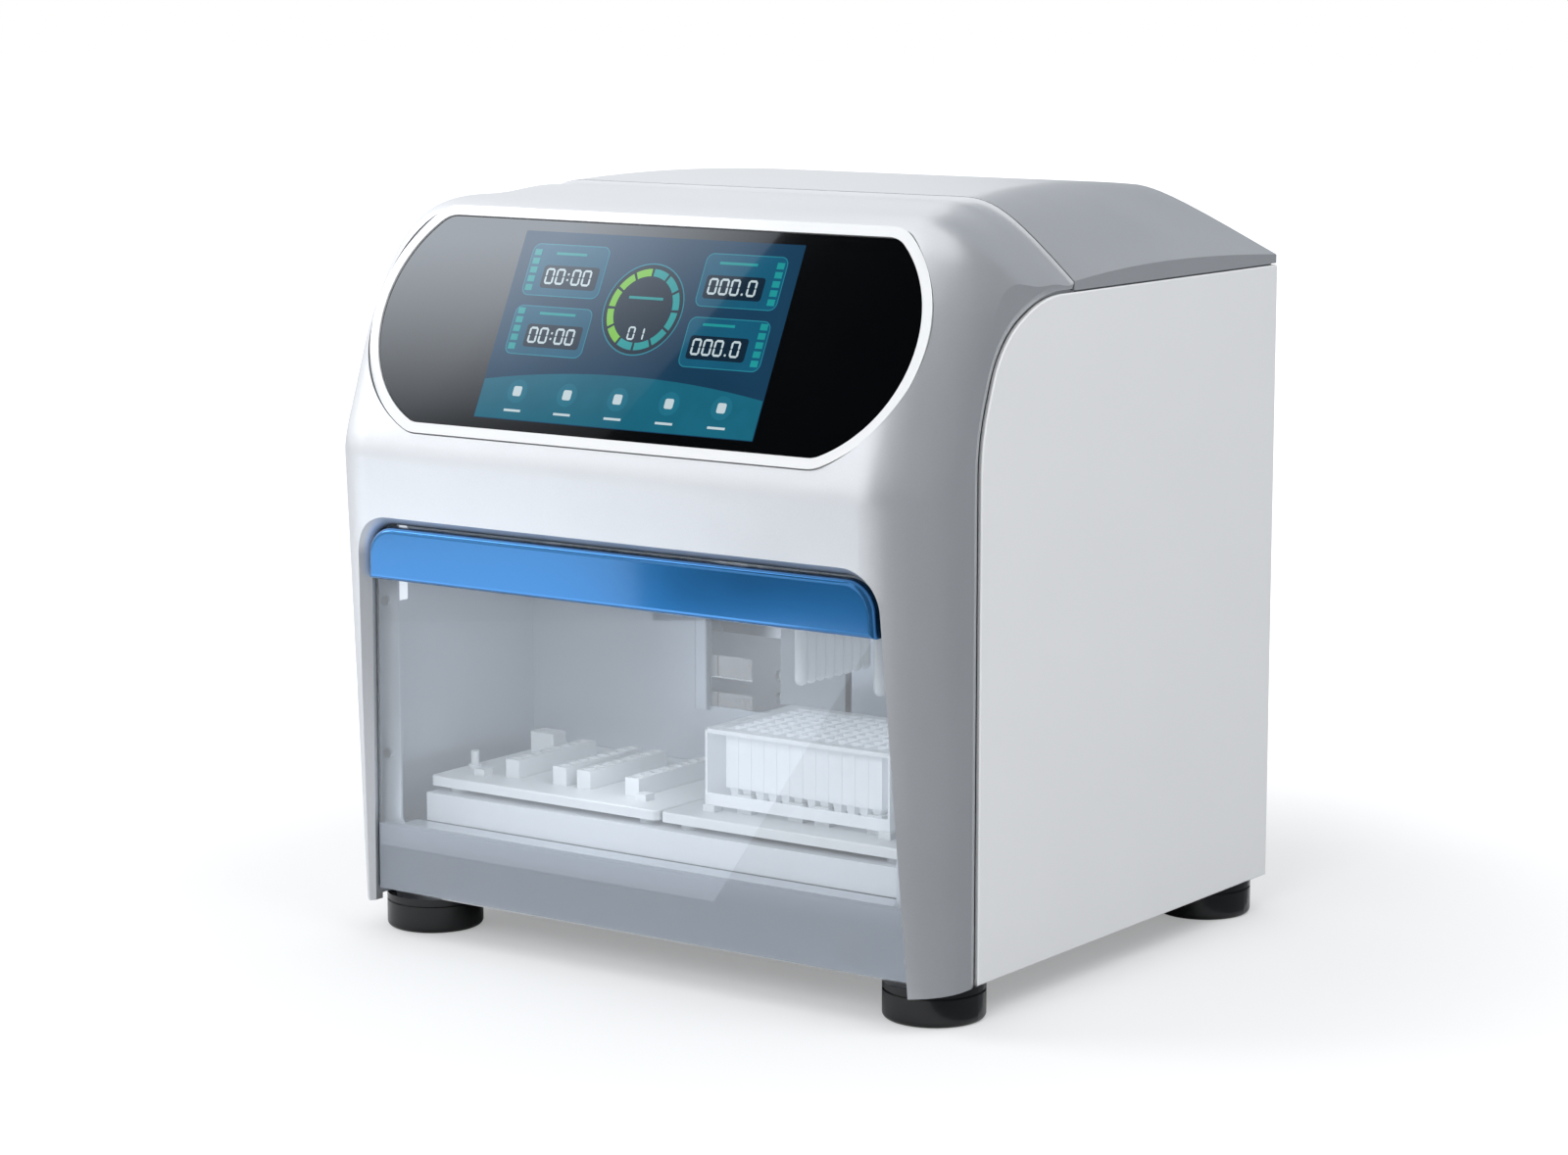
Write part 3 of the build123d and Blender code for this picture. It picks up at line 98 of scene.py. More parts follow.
def mix_shader(tree, share, one, two):
    """From the first shader to the second, by a share."""
    node = tree.nodes.new("ShaderNodeMixShader")
    feed(tree, share, node.inputs["Fac"])
    tree.links.new(one, node.inputs[1])
    tree.links.new(two, node.inputs[2])
    return node.outputs["Shader"]


def object_noise(tree, scale, detail=2.0, rough=0.5):
    """Noise in object space, with its scale in cycles per metre."""
    coord = tree.nodes.new("ShaderNodeTexCoord")
    noise = add(tree, "ShaderNodeTexNoise", Vector=coord.outputs["Object"], Scale=scale, Detail=detail,
                Roughness=rough)
    return noise.outputs["Fac"]


def spread(tree, noise, middle, share):
    """A number that drifts with a noise by a share of its middle value."""
    return remap(tree, noise, 0.25, 0.75, middle * (1 - share), middle * (1 + share))


def shades(colour, vary):
    """A darker and a lighter shade of a colour."""
    darker = (*[c * (1 - vary) for c in colour], 1)
    lighter = (*[c * (1 + vary) for c in colour], 1)
    return darker, lighter


# ------------------------------------------------------------------ materials

DRIFT_SCALE = 18.0          # cycles per metre of the slow drift of shade
DRIFT_SHARE = 0.35          # how much of the shade is drift, the rest being grain
GLOSS_DRIFT = 0.08          # share by which the roughness drifts
GRAIN_DEPTH = 0.0002        # metres
# Painted shade: ambient occlusion darkens the colour in gaps, holes and creases, where shade falls.
NOOK_SHADE_BLACK = (0.004, 0.004, 0.005, 1)
NOOK_DEEP = 0.12            # share of open sky at which the painted shade is darkest
NOOK_OPEN = 0.55            # share of open sky at which a surface has its own colour
PANEL_NOOK_SHADE = (0.006, 0.02)  # reach of the painted shade round a gap in metres, colour left at its darkest
TRAY_NOOK_SHADE = (0.005, 0.45)
COOL_WHITE = (0.9, 0.95, 1.0)


def paint_nook_shade(tree, colour, reach, least):
    """Paints shade into a colour: dark in gaps and holes, where ambient occlusion finds little open sky, down
    to a least share of itself.
    """
    nook = add(tree, "ShaderNodeAmbientOcclusion", Distance=reach)
    nook.samples = 6
    depth = remap(tree, nook.outputs["AO"], NOOK_DEEP, NOOK_OPEN, least, 1.0)
    return mix_colour(tree, depth, NOOK_SHADE_BLACK, colour)


def surface(name, colour, rough, metallic=0.0, grain=900.0, vary=0.03, bump=0.0, coat=0.0, coat_rough=0.1,
            glow=0.0, alpha=1.0, nook_shade=None):
    """A surface with a fine grain, a slow drift of shade and an uneven gloss."""
    mat, tree, out = new_material(name)
    fine = object_noise(tree, grain, 3.0, 0.6)
    slow = object_noise(tree, DRIFT_SCALE)
    blend = tree.nodes.new("ShaderNodeMix")
    blend.data_type = "FLOAT"
    feed(tree, DRIFT_SHARE, blend.inputs["Factor"])
    feed(tree, fine, blend.inputs["A"])
    feed(tree, slow, blend.inputs["B"])
    darker, lighter = shades(colour, vary)
    shade = mix_colour(tree, blend.outputs["Result"], darker, tuple(min(c, 1.0) for c in lighter))
    # Painted shade in gaps and holes, where asked.
    if nook_shade:
        shade = paint_nook_shade(tree, shade, *nook_shade)
    shader = add(tree, "ShaderNodeBsdfPrincipled", Base_Color=shade, Metallic=metallic, Alpha=alpha,
                 Roughness=spread(tree, slow, rough, GLOSS_DRIFT), Coat_Weight=coat,
                 Coat_Roughness=coat_rough)
    if bump:
        relief = add(tree, "ShaderNodeBump", Strength=bump, Distance=GRAIN_DEPTH, Height=fine)
        tree.links.new(relief.outputs["Normal"], shader.inputs["Normal"])
    # Emission. On the plate and sleeves it is painted light: they glow though they are no lamps.
    if glow:
        shader.inputs["Emission Color"].default_value = (*COOL_WHITE, 1)
        shader.inputs["Emission Strength"].default_value = glow
    tree.links.new(shader.outputs["BSDF"], out.inputs["Surface"])
    return mat


BAND_SHARE = 0.180          # height of the grey band at the foot of the door, as a share of the sheet
BAND_EDGE = 0.004           # how far its upper edge fades, as a share of the sheet
BAND_COVER = 0.55           # how much the band hides
BAND_GREY = (0.30, 0.34, 0.40, 1)
ACRYLIC_TINT = (0.97, 0.98, 0.99, 1)
ACRYLIC_IOR = 1.45
ACRYLIC_HAZE = 0.05         # how much the film of dust hides
DUST_WHITE = (0.8, 0.84, 0.88, 1)
LEAST_SHINE = 0.06          # share of light that the sheet mirrors over what Fresnel gives


def clear_acrylic(name):
    """Clear sheet: seen through, with a thin film of dust and a grey band at its foot.

    It mirrors more at a slant. A face seen from inside the sheet mirrors nothing, which keeps an open door
    clear."""
    mat, tree, out = new_material(name)
    coord = tree.nodes.new("ShaderNodeTexCoord")
    place = add(tree, "ShaderNodeSeparateXYZ", Vector=coord.outputs["Generated"])
    see = add(tree, "ShaderNodeBsdfTransparent", Color=ACRYLIC_TINT)
    dust = add(tree, "ShaderNodeBsdfDiffuse", Color=DUST_WHITE)
    paint = add(tree, "ShaderNodeBsdfDiffuse", Color=BAND_GREY)
    gloss = add(tree, "ShaderNodeBsdfGlossy", Roughness=0.02)
    film = spread(tree, object_noise(tree, 9.0), ACRYLIC_HAZE, 0.2)
    sheet = mix_shader(tree, film, see.outputs["BSDF"], dust.outputs["BSDF"])
    cover = remap(tree, place.outputs["Z"], BAND_SHARE, BAND_SHARE + BAND_EDGE, BAND_COVER, 0.0)
    sheet = mix_shader(tree, cover, sheet, paint.outputs["BSDF"])
    fresnel = add(tree, "ShaderNodeFresnel", IOR=ACRYLIC_IOR)
    side = tree.nodes.new("ShaderNodeNewGeometry")
    outer = maths(tree, "SUBTRACT", 1.0, side.outputs["Backfacing"])
    shine = maths(tree, "MULTIPLY", maths(tree, "ADD", fresnel.outputs["Fac"], LEAST_SHINE), outer)
    sheet = mix_shader(tree, shine, sheet, gloss.outputs["BSDF"])
    tree.links.new(sheet, out.inputs["Surface"])
    return mat


MATERIALS = {
    # casing
    # Casing and side panels carry painted shade in their gaps.
    "casing_paint": surface("Casing pearl", (0.82, 0.835, 0.86), 0.40, metallic=0.82, grain=1300, vary=0.08,
                            bump=0.07, coat=0.10, coat_rough=0.25, nook_shade=PANEL_NOOK_SHADE),
    "panel_paint": surface("Panel grey", (0.80, 0.81, 0.825), 0.55, grain=1300, vary=0.02, bump=0.08,
                           nook_shade=PANEL_NOOK_SHADE),
    "foot_rubber": surface("Foot rubber", (0.004, 0.0045, 0.005), 0.24, vary=0.10, bump=0.03, coat=0.3,
                           coat_rough=0.12),
    # display
    "bezel_white": surface("Bezel white", (0.64, 0.65, 0.66), 0.25, grain=600, vary=0.01, coat=0.5,
                           coat_rough=0.05),
    "display_black": surface("Display black", (0.0012, 0.0015, 0.002), 0.06, grain=300, vary=0.05, coat=1.0,
                             coat_rough=0.02),
    "screen_module": surface("Screen module", (0.05, 0.05, 0.06), 0.6, grain=700, vary=0.05),
    # door
    "door_acrylic": clear_acrylic("Door acrylic"),
    "grip_blue": surface("Grip blue", (0.028, 0.21, 0.52), 0.19, metallic=0.9, grain=1500, vary=0.06,
                         bump=0.02, coat=1.0, coat_rough=0.08),
    "door_hinge_plastic": surface("Hinge grey", (0.44, 0.46, 0.49), 0.5, vary=0.05, bump=0.03),
    "magnet_dark": surface("Magnet cap", (0.45, 0.46, 0.48), 0.5, vary=0.05, bump=0.03),
    # chamber
    "chamber_paint": surface("Chamber satin", (0.64, 0.68, 0.73), 0.30, metallic=0.5, grain=1100, vary=0.02,
                             bump=0.03),
    "lower_grey": surface("Lower panel grey", (0.30, 0.335, 0.385), 0.5, grain=1100, vary=0.02, bump=0.05),
    "pedestal_blue": surface("Pedestal grey", (0.74, 0.77, 0.81), 0.5, grain=1100, vary=0.02, bump=0.05),
    # The tray carries painted shade in its gaps and holes.
    "tray_aluminium": surface("Blasted aluminium", (0.80, 0.82, 0.84), 0.5, metallic=0.15, grain=1600,
                              vary=0.04, bump=0.06, nook_shade=TRAY_NOOK_SHADE),
    # Painted light: the plate glows a little, though it is no lamp.
    "plate_clear": surface("Plate polypropylene", (0.90, 0.93, 0.96), 0.28, grain=400, vary=0.02, alpha=0.66,
                           glow=0.10),
    "lamp_glass": surface("Lamp glass", (0.80, 0.84, 0.90), 0.1, grain=300, vary=0.02, alpha=0.6),
    "lamp_ends": surface("Lamp ends", (0.72, 0.72, 0.71), 0.45, bump=0.03),
    "light_white": surface("Diffuser", (0.86, 0.88, 0.90), 0.4, grain=500, vary=0.02, glow=0.6),
    # head and drives
    "mast_grey": surface("Mast grey", (0.60, 0.64, 0.69), 0.45, bump=0.03),
    # Painted light: the sleeves glow a little, though they are no lamps.
    "sleeve_clear": surface("Sleeve polypropylene", (0.88, 0.91, 0.94), 0.25, grain=400, vary=0.02, alpha=0.6,
                            glow=0.05),
    "steel": surface("Ground steel", (0.56, 0.57, 0.58), 0.28, metallic=1.0, grain=700, vary=0.08, bump=0.02),
    "zinc_sheet": surface("Zinc sheet", (0.62, 0.63, 0.64), 0.38, metallic=0.9, grain=260, vary=0.10,
                          bump=0.03),
    "motor_black": surface("Motor black", (0.03, 0.03, 0.034), 0.4, vary=0.08, bump=0.03),
    # electrics and rear
    "circuit_green": surface("Circuit green", (0.03, 0.16, 0.07), 0.4, grain=500, vary=0.15),
    "black_plastic": surface("Black moulding", (0.022, 0.022, 0.025), 0.5, grain=1200, vary=0.08, bump=0.06),
    "rocker_black": surface("Rocker black", (0.015, 0.015, 0.017), 0.22, vary=0.05),
    "port_metal": surface("Port shell", (0.60, 0.60, 0.58), 0.3, metallic=1.0, grain=500, vary=0.06,
                          bump=0.02),
}

for part in frame["record"]["subparts"]:
    node = NODES[part["node"]]
    node.data.materials.clear()
    node.data.materials.append(MATERIALS[part["material_slot"]])


# -------------------------------------------------------------- screen page, in millimetres on the glass

TILT = radians(26.0)
NORMAL = Vector((0, -cos(TILT), sin(TILT)))
UP = Vector((0, sin(TILT), cos(TILT)))
SIDE = Vector((1, 0, 0))
GLASS_HALF = 0.0015         # half of the cover glass's thickness, in metres
PAGE_DROP = 0.00025         # the page's middle lies this far under the middle of the glass, in metres
GLASS_LOW, GLASS_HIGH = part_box("display_glass")
PAGE_AT = (Vector(GLASS_LOW) + Vector(GLASS_HIGH)) / 2 + NORMAL * GLASS_HALF - UP * PAGE_DROP

# Heights over the glass, so that each layer covers the one under it.
BACK_LIFT, PANEL_LIFT, EDGE_LIFT, MARK_LIFT, NUMBER_LIFT = 0.03, 0.06, 0.09, 0.12, 0.15

PAGE_X, PAGE_Y = 98.5, 57.5                     # half of the page's width and height
COLUMNS = ((-90, -34), (34, 90))                # of the four readouts
ROWS = ((18, 50), (-18, 12))
PANEL_ROUND = 5
EDGE_WIDE = 0.6
WELL_FOOT, WELL_HEAD, WELL_ROUND = 5, 19, 2     # the dark window behind the digits, from a readout's foot
LADDER_SPACE, WELL_SPACE = 12, 4                # left beside the window for the ladder, and on its other side
READINGS = (("00:00", -75), ("000.0", 41))      # text and left edge, the same in both rows
READING_Y = (26, -10)
READOUT = (8.6, 5.0, 1.3, 7.6)                  # digit height, width, stroke and step
COUNTER = (7.0, 4.0, 1.1, 6.4)
COUNTER_AT = (-5.5, -4)
LADDER_X, LADDER_Y = (-88, 83), (21, -15)
LADDER_BAR, LADDER_STEP, LADDER_BARS = (5, 3.8), 5.4, 5
DIAL_X, DIAL_Y, DIAL_RADIUS = 0.0, 14.0, 27.0
DIAL_EDGE = 0.8
CIRCLE_FLAT = 0.1                               # half of the flat left between the corners of a round shape
GAUGE_IN, GAUGE_OUT, GAUGE_PARTS, GAUGE_LIT = 20.0, 24.5, 12, 5
GAUGE_START, GAUGE_GAP = 92, 4                  # degrees
CAPTIONS = ((-72, 43.5, 22), (-72, 6.8, 26), (44, 43.5, 26), (44, 6.8, 22), (-12, 20, 24))  # x, y, width
CAPTION_HIGH = 1.6
BAND_X, BAND_FOOT, BAND_SHOULDER, BAND_CROWN, BAND_STEPS = 98, -57, -34, 8, 16
KEY_ROW, KEY_Y, KEY_RADIUS, KEY_MARK = (-72, -36, 0, 36, 72), -40, 7, 3
UNDERLINE_Y, UNDERLINE_HALF, UNDERLINE_HIGH = -52.4, 6, 1.4


def on_glass(u, v, lift):
    """Point over the display glass: millimetres across and up, and out from it."""
    return PAGE_AT + (SIDE * u + UP * v + NORMAL * lift) / 1000


def lit_colour(name, colour, vary=0.15, scale=60.0):
    """Lit colour of the screen page, with a soft drift of shade and the gloss of the glass."""
    mat, tree, out = new_material(name)
    darker, lighter = shades(colour, vary)
    shader = add(tree, "ShaderNodeBsdfPrincipled", Base_Color=(0.001, 0.0015, 0.002, 1), Roughness=0.06,
                 Specular_IOR_Level=0.25, Coat_Weight=0.75, Coat_Roughness=0.02, Emission_Strength=1.0,
                 Emission_Color=mix_colour(tree, object_noise(tree, scale), darker, lighter))
    tree.links.new(shader.outputs["BSDF"], out.inputs["Surface"])
    return mat


def new_object(name, points, faces, mat):
    """A mesh object in the scene."""
    mesh = bpy.data.meshes.new(name)
    mesh.from_pydata([tuple(point) for point in points], [], faces)
    mesh.materials.append(mat)
    obj = bpy.data.objects.new(name, mesh)
    SCENE.collection.objects.link(obj)
    return obj


def page_piece(name, loops, lift, mat):
    """Flat shapes on the display, from closed loops of (across, up) points."""
    points, faces = [], []
    for loop in loops:
        start = len(points)
        points.extend(on_glass(u, v, lift) for u, v in loop)
        faces.append(tuple(range(start, start + len(loop))))
    obj = new_object(name, points, faces, mat)
    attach(obj, "chassis")


def rectangle(x, y, wide, high):
    """Rectangle from its lower left corner, as one loop."""
    return [(x, y), (x + wide, y), (x + wide, y + high), (x, y + high)]


def rounded(x0, x1, y0, y1, radius, steps=6):
    """Rounded rectangle as one loop."""
    loop = []
    corners = ((x1 - radius, y1 - radius, 0), (x0 + radius, y1 - radius, 90),
               (x0 + radius, y0 + radius, 180), (x1 - radius, y0 + radius, 270))
    for cx, cy, start in corners:
        for step in range(steps + 1):
            turn = radians(start + 90 * step / steps)
            loop.append((cx + radius * cos(turn), cy + radius * sin(turn)))
    return loop


def rounded_about(x, y, half, radius, steps):
    """Rounded square round a point."""
    return rounded(x - half, x + half, y - half, y + half, radius, steps)


def rounded_outline(x0, x1, y0, y1, radius, wide):
    """Outline of a rounded rectangle as a chain of quads."""
    outer = rounded(x0, x1, y0, y1, radius)
    inner = rounded(x0 + wide, x1 - wide, y0 + wide, y1 - wide, radius - wide)
    quads = []
    for i in range(len(outer)):
        j = (i + 1) % len(outer)
        quads.append([outer[i], outer[j], inner[j], inner[i]])
    return quads


def arc_band(cx, cy, r0, r1, start, end, steps):
    """Part of a ring as quads, angles in degrees from the right, anticlockwise."""
    quads = []
    for step in range(steps):
        a = radians(start + (end - start) * step / steps)
        b = radians(start + (end - start) * (step + 1) / steps)
        quads.append([(cx + r0 * cos(a), cy + r0 * sin(a)), (cx + r1 * cos(a), cy + r1 * sin(a)),
                      (cx + r1 * cos(b), cy + r1 * sin(b)), (cx + r0 * cos(b), cy + r0 * sin(b))])
    return quads


def stroke_loop(x0, y0, x1, y1, wide):
    """Straight stroke with pointed ends, as in a segment digit."""
    start, end = Vector((x0, y0)), Vector((x1, y1))
    along = (end - start).normalized()
    across = Vector((-along.y, along.x)) * wide / 2
    tip = along * wide / 2
    points = (start, start + tip + across, end - tip + across, end, end - tip - across, start + tip - across)
    return [tuple(point) for point in points]


def digit_segments(char, x, y, wide, high):
    """Ends of the segments that a digit lights."""
    top, mid, right = y + high, y + high / 2, x + wide
    upper_right, lower_right = (right, top, right, mid), (right, mid, right, y)
    if char == "1":
        return (upper_right, lower_right)
    across_top, across_foot = (x, top, right, top), (x, y, right, y)
    lower_left, upper_left = (x, mid, x, y), (x, top, x, mid)
    return (across_top, upper_right, lower_right, across_foot, lower_left, upper_left)


def digits(text, x, y, style):
    """Zeros and ones as segment strokes; a colon and a point are small squares."""
    high, wide, stroke, step = style
    dots = {":": (0.3, 0.7), ".": (0.06,)}
    loops = []
    for char in text:
        if char in dots:
            for share in dots[char]:
                cy = y + high * share
                loops.append(rounded(x, x + stroke, cy - stroke / 2, cy + stroke / 2, stroke * 0.2, 2))
            x += stroke + (step - wide)
        else:
            loops += [stroke_loop(*ends, stroke) for ends in digit_segments(char, x, y, wide, high)]
            x += step
    return loops


def build_readouts(panel, line, dark):
    """The four rounded readouts, each with its dark window."""
    fills, edges, wells = [], [], []
    for x0, x1 in COLUMNS:
        before, after = (LADDER_SPACE, WELL_SPACE) if x0 < 0 else (WELL_SPACE, LADDER_SPACE)
        for y0, y1 in ROWS:
            fills.append(rounded(x0, x1, y0, y1, PANEL_ROUND))
            edges += rounded_outline(x0, x1, y0, y1, PANEL_ROUND, EDGE_WIDE)
            wells.append(rounded(x0 + before, x1 - after, y0 + WELL_FOOT, y0 + WELL_HEAD, WELL_ROUND))
    page_piece("ui_panels", fills, PANEL_LIFT, panel)
    page_piece("ui_panel_edges", edges, EDGE_LIFT, line)
    page_piece("ui_wells", wells, EDGE_LIFT, dark)


def build_ladders(teal):
    """A ladder of bars in each readout, beside its window."""
    bars = []
    for x in LADDER_X:
        for y in LADDER_Y:
            bars += [rectangle(x, y + step * LADDER_STEP, *LADDER_BAR) for step in range(LADDER_BARS)]
    page_piece("ui_ladders", bars, MARK_LIFT, teal)


def build_dial(line, dark, teal, green):
    """The round gauge, with some of its parts lit."""
    disc = rounded_about(DIAL_X, DIAL_Y, DIAL_RADIUS, DIAL_RADIUS - CIRCLE_FLAT, 14)
    edge = arc_band(DIAL_X, DIAL_Y, DIAL_RADIUS, DIAL_RADIUS + DIAL_EDGE, 0, 360, 48)
    part_turn = 360 / GAUGE_PARTS
    lit, rest = [], []
    for k in range(GAUGE_PARTS):
        start = GAUGE_START + part_turn * k
        quads = arc_band(DIAL_X, DIAL_Y, GAUGE_IN, GAUGE_OUT, start, start + part_turn - GAUGE_GAP, 4)
        if k < GAUGE_LIT:
            lit += quads
        else:
            rest += quads
    page_piece("ui_dial", [disc], PANEL_LIFT, dark)
    page_piece("ui_dial_edge", edge, MARK_LIFT, line)
    page_piece("ui_gauge_lit", lit, MARK_LIFT, green)
    page_piece("ui_gauge_rest", rest, MARK_LIFT, teal)


def build_keys(band, key, number):
    """The band along the page's foot, with a row of blank keys, each over its underline."""
    low, keys, marks = [], [], []
    xs = [BAND_X * (2 * step / BAND_STEPS - 1) for step in range(BAND_STEPS + 1)]
    tops = [BAND_SHOULDER + BAND_CROWN * (1 - (x / BAND_X) ** 2) for x in xs]
    for x0, x1, top0, top1 in zip(xs, xs[1:], tops, tops[1:]):
        low.append([(x0, BAND_FOOT), (x1, BAND_FOOT), (x1, top1), (x0, top0)])
    for x in KEY_ROW:
        keys.append(rounded_about(x, KEY_Y, KEY_RADIUS, KEY_RADIUS - CIRCLE_FLAT, 8))
        marks.append(rounded_about(x, KEY_Y, KEY_MARK, 1.2, 3))
        marks.append(rectangle(x - UNDERLINE_HALF, UNDERLINE_Y, 2 * UNDERLINE_HALF, UNDERLINE_HIGH))
    page_piece("ui_band", low, PANEL_LIFT, band)
    page_piece("ui_keys", keys, EDGE_LIFT, key)
    page_piece("ui_key_marks", marks, NUMBER_LIFT, number)


def build_page():
    """A plain control page: four readouts, a ring gauge and a row of keys."""
    back = lit_colour("Screen back", (0.010, 0.050, 0.105), 0.35, 14.0)
    panel = lit_colour("Screen panel", (0.008, 0.10, 0.18))
    line = lit_colour("Screen line", (0.02, 0.22, 0.30))
    dark = lit_colour("Screen well", (0.005, 0.02, 0.04))
    number = lit_colour("Screen number", (0.55, 0.66, 0.70), 0.05)
    teal = lit_colour("Screen teal", (0.015, 0.30, 0.31))
    green = lit_colour("Screen green", (0.20, 0.50, 0.06))
    key = lit_colour("Screen key", (0.015, 0.16, 0.24))
    band = lit_colour("Screen band", (0.010, 0.13, 0.20))
    readings = []
    for y in READING_Y:
        for text, x in READINGS:
            readings += digits(text, x, y, READOUT)
    readings += digits("01", *COUNTER_AT, COUNTER)
    page_piece("ui_back", [rounded(-PAGE_X, PAGE_X, -PAGE_Y, PAGE_Y, 0.6, 2)], BACK_LIFT, back)
    build_readouts(panel, line, dark)
    page_piece("ui_numbers", readings, NUMBER_LIFT, number)
    build_ladders(teal)
    build_dial(line, dark, teal, green)
    captions = [rectangle(x, y, wide, CAPTION_HIGH) for x, y, wide in CAPTIONS]
    page_piece("ui_captions", captions, MARK_LIFT, teal)
    build_keys(band, key, number)


build_page()


# -------------------------------------------------------------- floor

FLOOR_HALF = 14.0
FLOOR_GREY = (0.54, 0.545, 0.55, 1)
LIFT_NEAR, LIFT_FAR = (0.3, 0.31), (1.0, 0.9)   # distance from the origin in metres, light added there


def stage_plane(name, corners, mat):
    """A flat stage piece from its corners."""
    obj = new_object(name, corners, [tuple(range(len(corners)))], mat)
    return obj


def floor_material():
    """Pale floor that keeps its shadow near the machine and turns white for the camera away from it."""
    mat, tree, out = new_material("Floor")
    coord = tree.nodes.new("ShaderNodeTexCoord")
    far = tree.nodes.new("ShaderNodeVectorMath")
    far.operation = "LENGTH"
    tree.links.new(coord.outputs["Object"], far.inputs[0])
    ramp = add(tree, "ShaderNodeMapRange", Value=far.outputs["Value"], From_Min=LIFT_NEAR[0],
               From_Max=LIFT_FAR[0], To_Min=LIFT_NEAR[1], To_Max=LIFT_FAR[1])
    ramp.interpolation_type = "SMOOTHSTEP"
    diffuse = add(tree, "ShaderNodeBsdfDiffuse", Color=FLOOR_GREY)
    lift = add(tree, "ShaderNodeEmission", Color=(0.99, 0.995, 1.0, 1), Strength=ramp.outputs["Result"])
    both = tree.nodes.new("ShaderNodeAddShader")
    tree.links.new(diffuse.outputs["BSDF"], both.inputs[0])
    tree.links.new(lift.outputs["Emission"], both.inputs[1])
    path = tree.nodes.new("ShaderNodeLightPath")
    pick = mix_shader(tree, path.outputs["Is Camera Ray"], diffuse.outputs["BSDF"], both.outputs["Shader"])
    tree.links.new(pick, out.inputs["Surface"])
    return mat


FLOOR_CORNERS = rectangle(-FLOOR_HALF, -FLOOR_HALF, 2 * FLOOR_HALF, 2 * FLOOR_HALF)
stage_plane("floor", [(x, y, 0) for x, y in FLOOR_CORNERS], floor_material())


# -------------------------------------------------------------- cards: studio walls seen only in reflections

EAST, NORTH, SKY = (1, 0, 0), (0, 1, 0), (0, 0, 1)
FLOOR_CARD_Z = 0.002


def card_material(name, strength, slopes=()):
    """Glow of a card. Each slope is (direction in its plane, start, end, low, high) and sets the strength."""
    mat, tree, out = new_material(name)
    level = strength
    for direction, start, end, low, high in slopes:
        coord = tree.nodes.new("ShaderNodeTexCoord")
        along = tree.nodes.new("ShaderNodeVectorMath")
        along.operation = "DOT_PRODUCT"
        along.inputs[1].default_value = (*direction, 0.0)
        tree.links.new(coord.outputs["Object"], along.inputs[0])
        level = maths(tree, "MULTIPLY", level, remap(tree, along.outputs["Value"], start, end, low, high))
    lamp = add(tree, "ShaderNodeEmission", Color=(0.88, 0.95, 1.04, 1), Strength=level)
    tree.links.new(lamp.outputs["Emission"], out.inputs["Surface"])
    return mat


def card(name, origin, across, up, corners, mat):
    """Card seen only in reflections, drawn in its own plane."""
    obj = stage_plane(name, [(a, b, 0) for a, b in corners], mat)
    side, rise = Vector(across).normalized(), Vector(up).normalized()
    turn = Matrix((side, rise, side.cross(rise))).transposed()
    obj.matrix_world = Matrix.Translation(origin) @ turn.to_4x4()
    obj.visible_camera = False
    obj.visible_diffuse = False
    obj.visible_transmission = False
    obj.visible_shadow = False


def floor_card(name, corners, strength):
    """Card that lies just over the floor."""
    card(name, (0, 0, FLOOR_CARD_Z), EAST, NORTH, corners, card_material(name, strength))


# The display mirrors these cards, bright and dark. The slanted edge between them is the diagonal on the page.
# They face the display along the camera's mirrored line of sight. Each of the two slopes of the glow holds
# its direction in the card, start, end, low and high.
MIRROR_AT = (-0.7421, -0.8679, 1.0757)
MIRROR_TURN, MIRROR_TILT = radians(-47.02), radians(34.237)
MIRROR_ACROSS = (cos(MIRROR_TURN), sin(MIRROR_TURN), 0.0)
MIRROR_UP = (-sin(MIRROR_TURN) * sin(MIRROR_TILT), cos(MIRROR_TURN) * sin(MIRROR_TILT), cos(MIRROR_TILT))
MIRROR_LEFT, MIRROR_RIGHT, MIRROR_HALF = -0.40, 0.36, 0.35
SLANT_FOOT, SLANT_HEAD = (-0.0083, -MIRROR_HALF), (0.0597, MIRROR_HALF)
UPWARDS = ((-0.71, 1.0), -0.10, 0.10, 0.50, 4.1)
RIGHTWARDS = ((1.0, -0.097), -0.12, 0.03, 1.06, 0.24)

card("card_bright", MIRROR_AT, MIRROR_ACROSS, MIRROR_UP,
     ((MIRROR_LEFT, -MIRROR_HALF), SLANT_FOOT, SLANT_HEAD, (MIRROR_LEFT, MIRROR_HALF)),
     card_material("card_bright", 1.0, (UPWARDS, RIGHTWARDS)))
card("card_dark", MIRROR_AT, MIRROR_ACROSS, MIRROR_UP,
     (SLANT_FOOT, (MIRROR_RIGHT, -MIRROR_HALF), (MIRROR_RIGHT, MIRROR_HALF), SLANT_HEAD),
     card_material("card_dark", 0.002))

# Grey walls on the right and behind and a grey floor on the right, which the metallic casing mirrors.
FLAG_RADIUS, FLAG_HIGH = 1.15, 2.1


def flag(name, start, end, shade, steps):
    """Upright grey wall round part of the machine, angles in degrees from the front towards the right."""
    mat = card_material(name, shade)
    turns = [radians(start + (end - start) * step / steps) for step in range(steps + 1)]
    points = [(FLAG_RADIUS * sin(turn), -FLAG_RADIUS * cos(turn)) for turn in turns]
    for step, (one, two) in enumerate(zip(points, points[1:])):
        across = (two[0] - one[0], two[1] - one[1], 0.0)
        sheet = rectangle(0, 0, Vector(across).length, FLAG_HIGH)
        card(f"{name}_{step}", (*one, 0.0), across, SKY, sheet, mat)


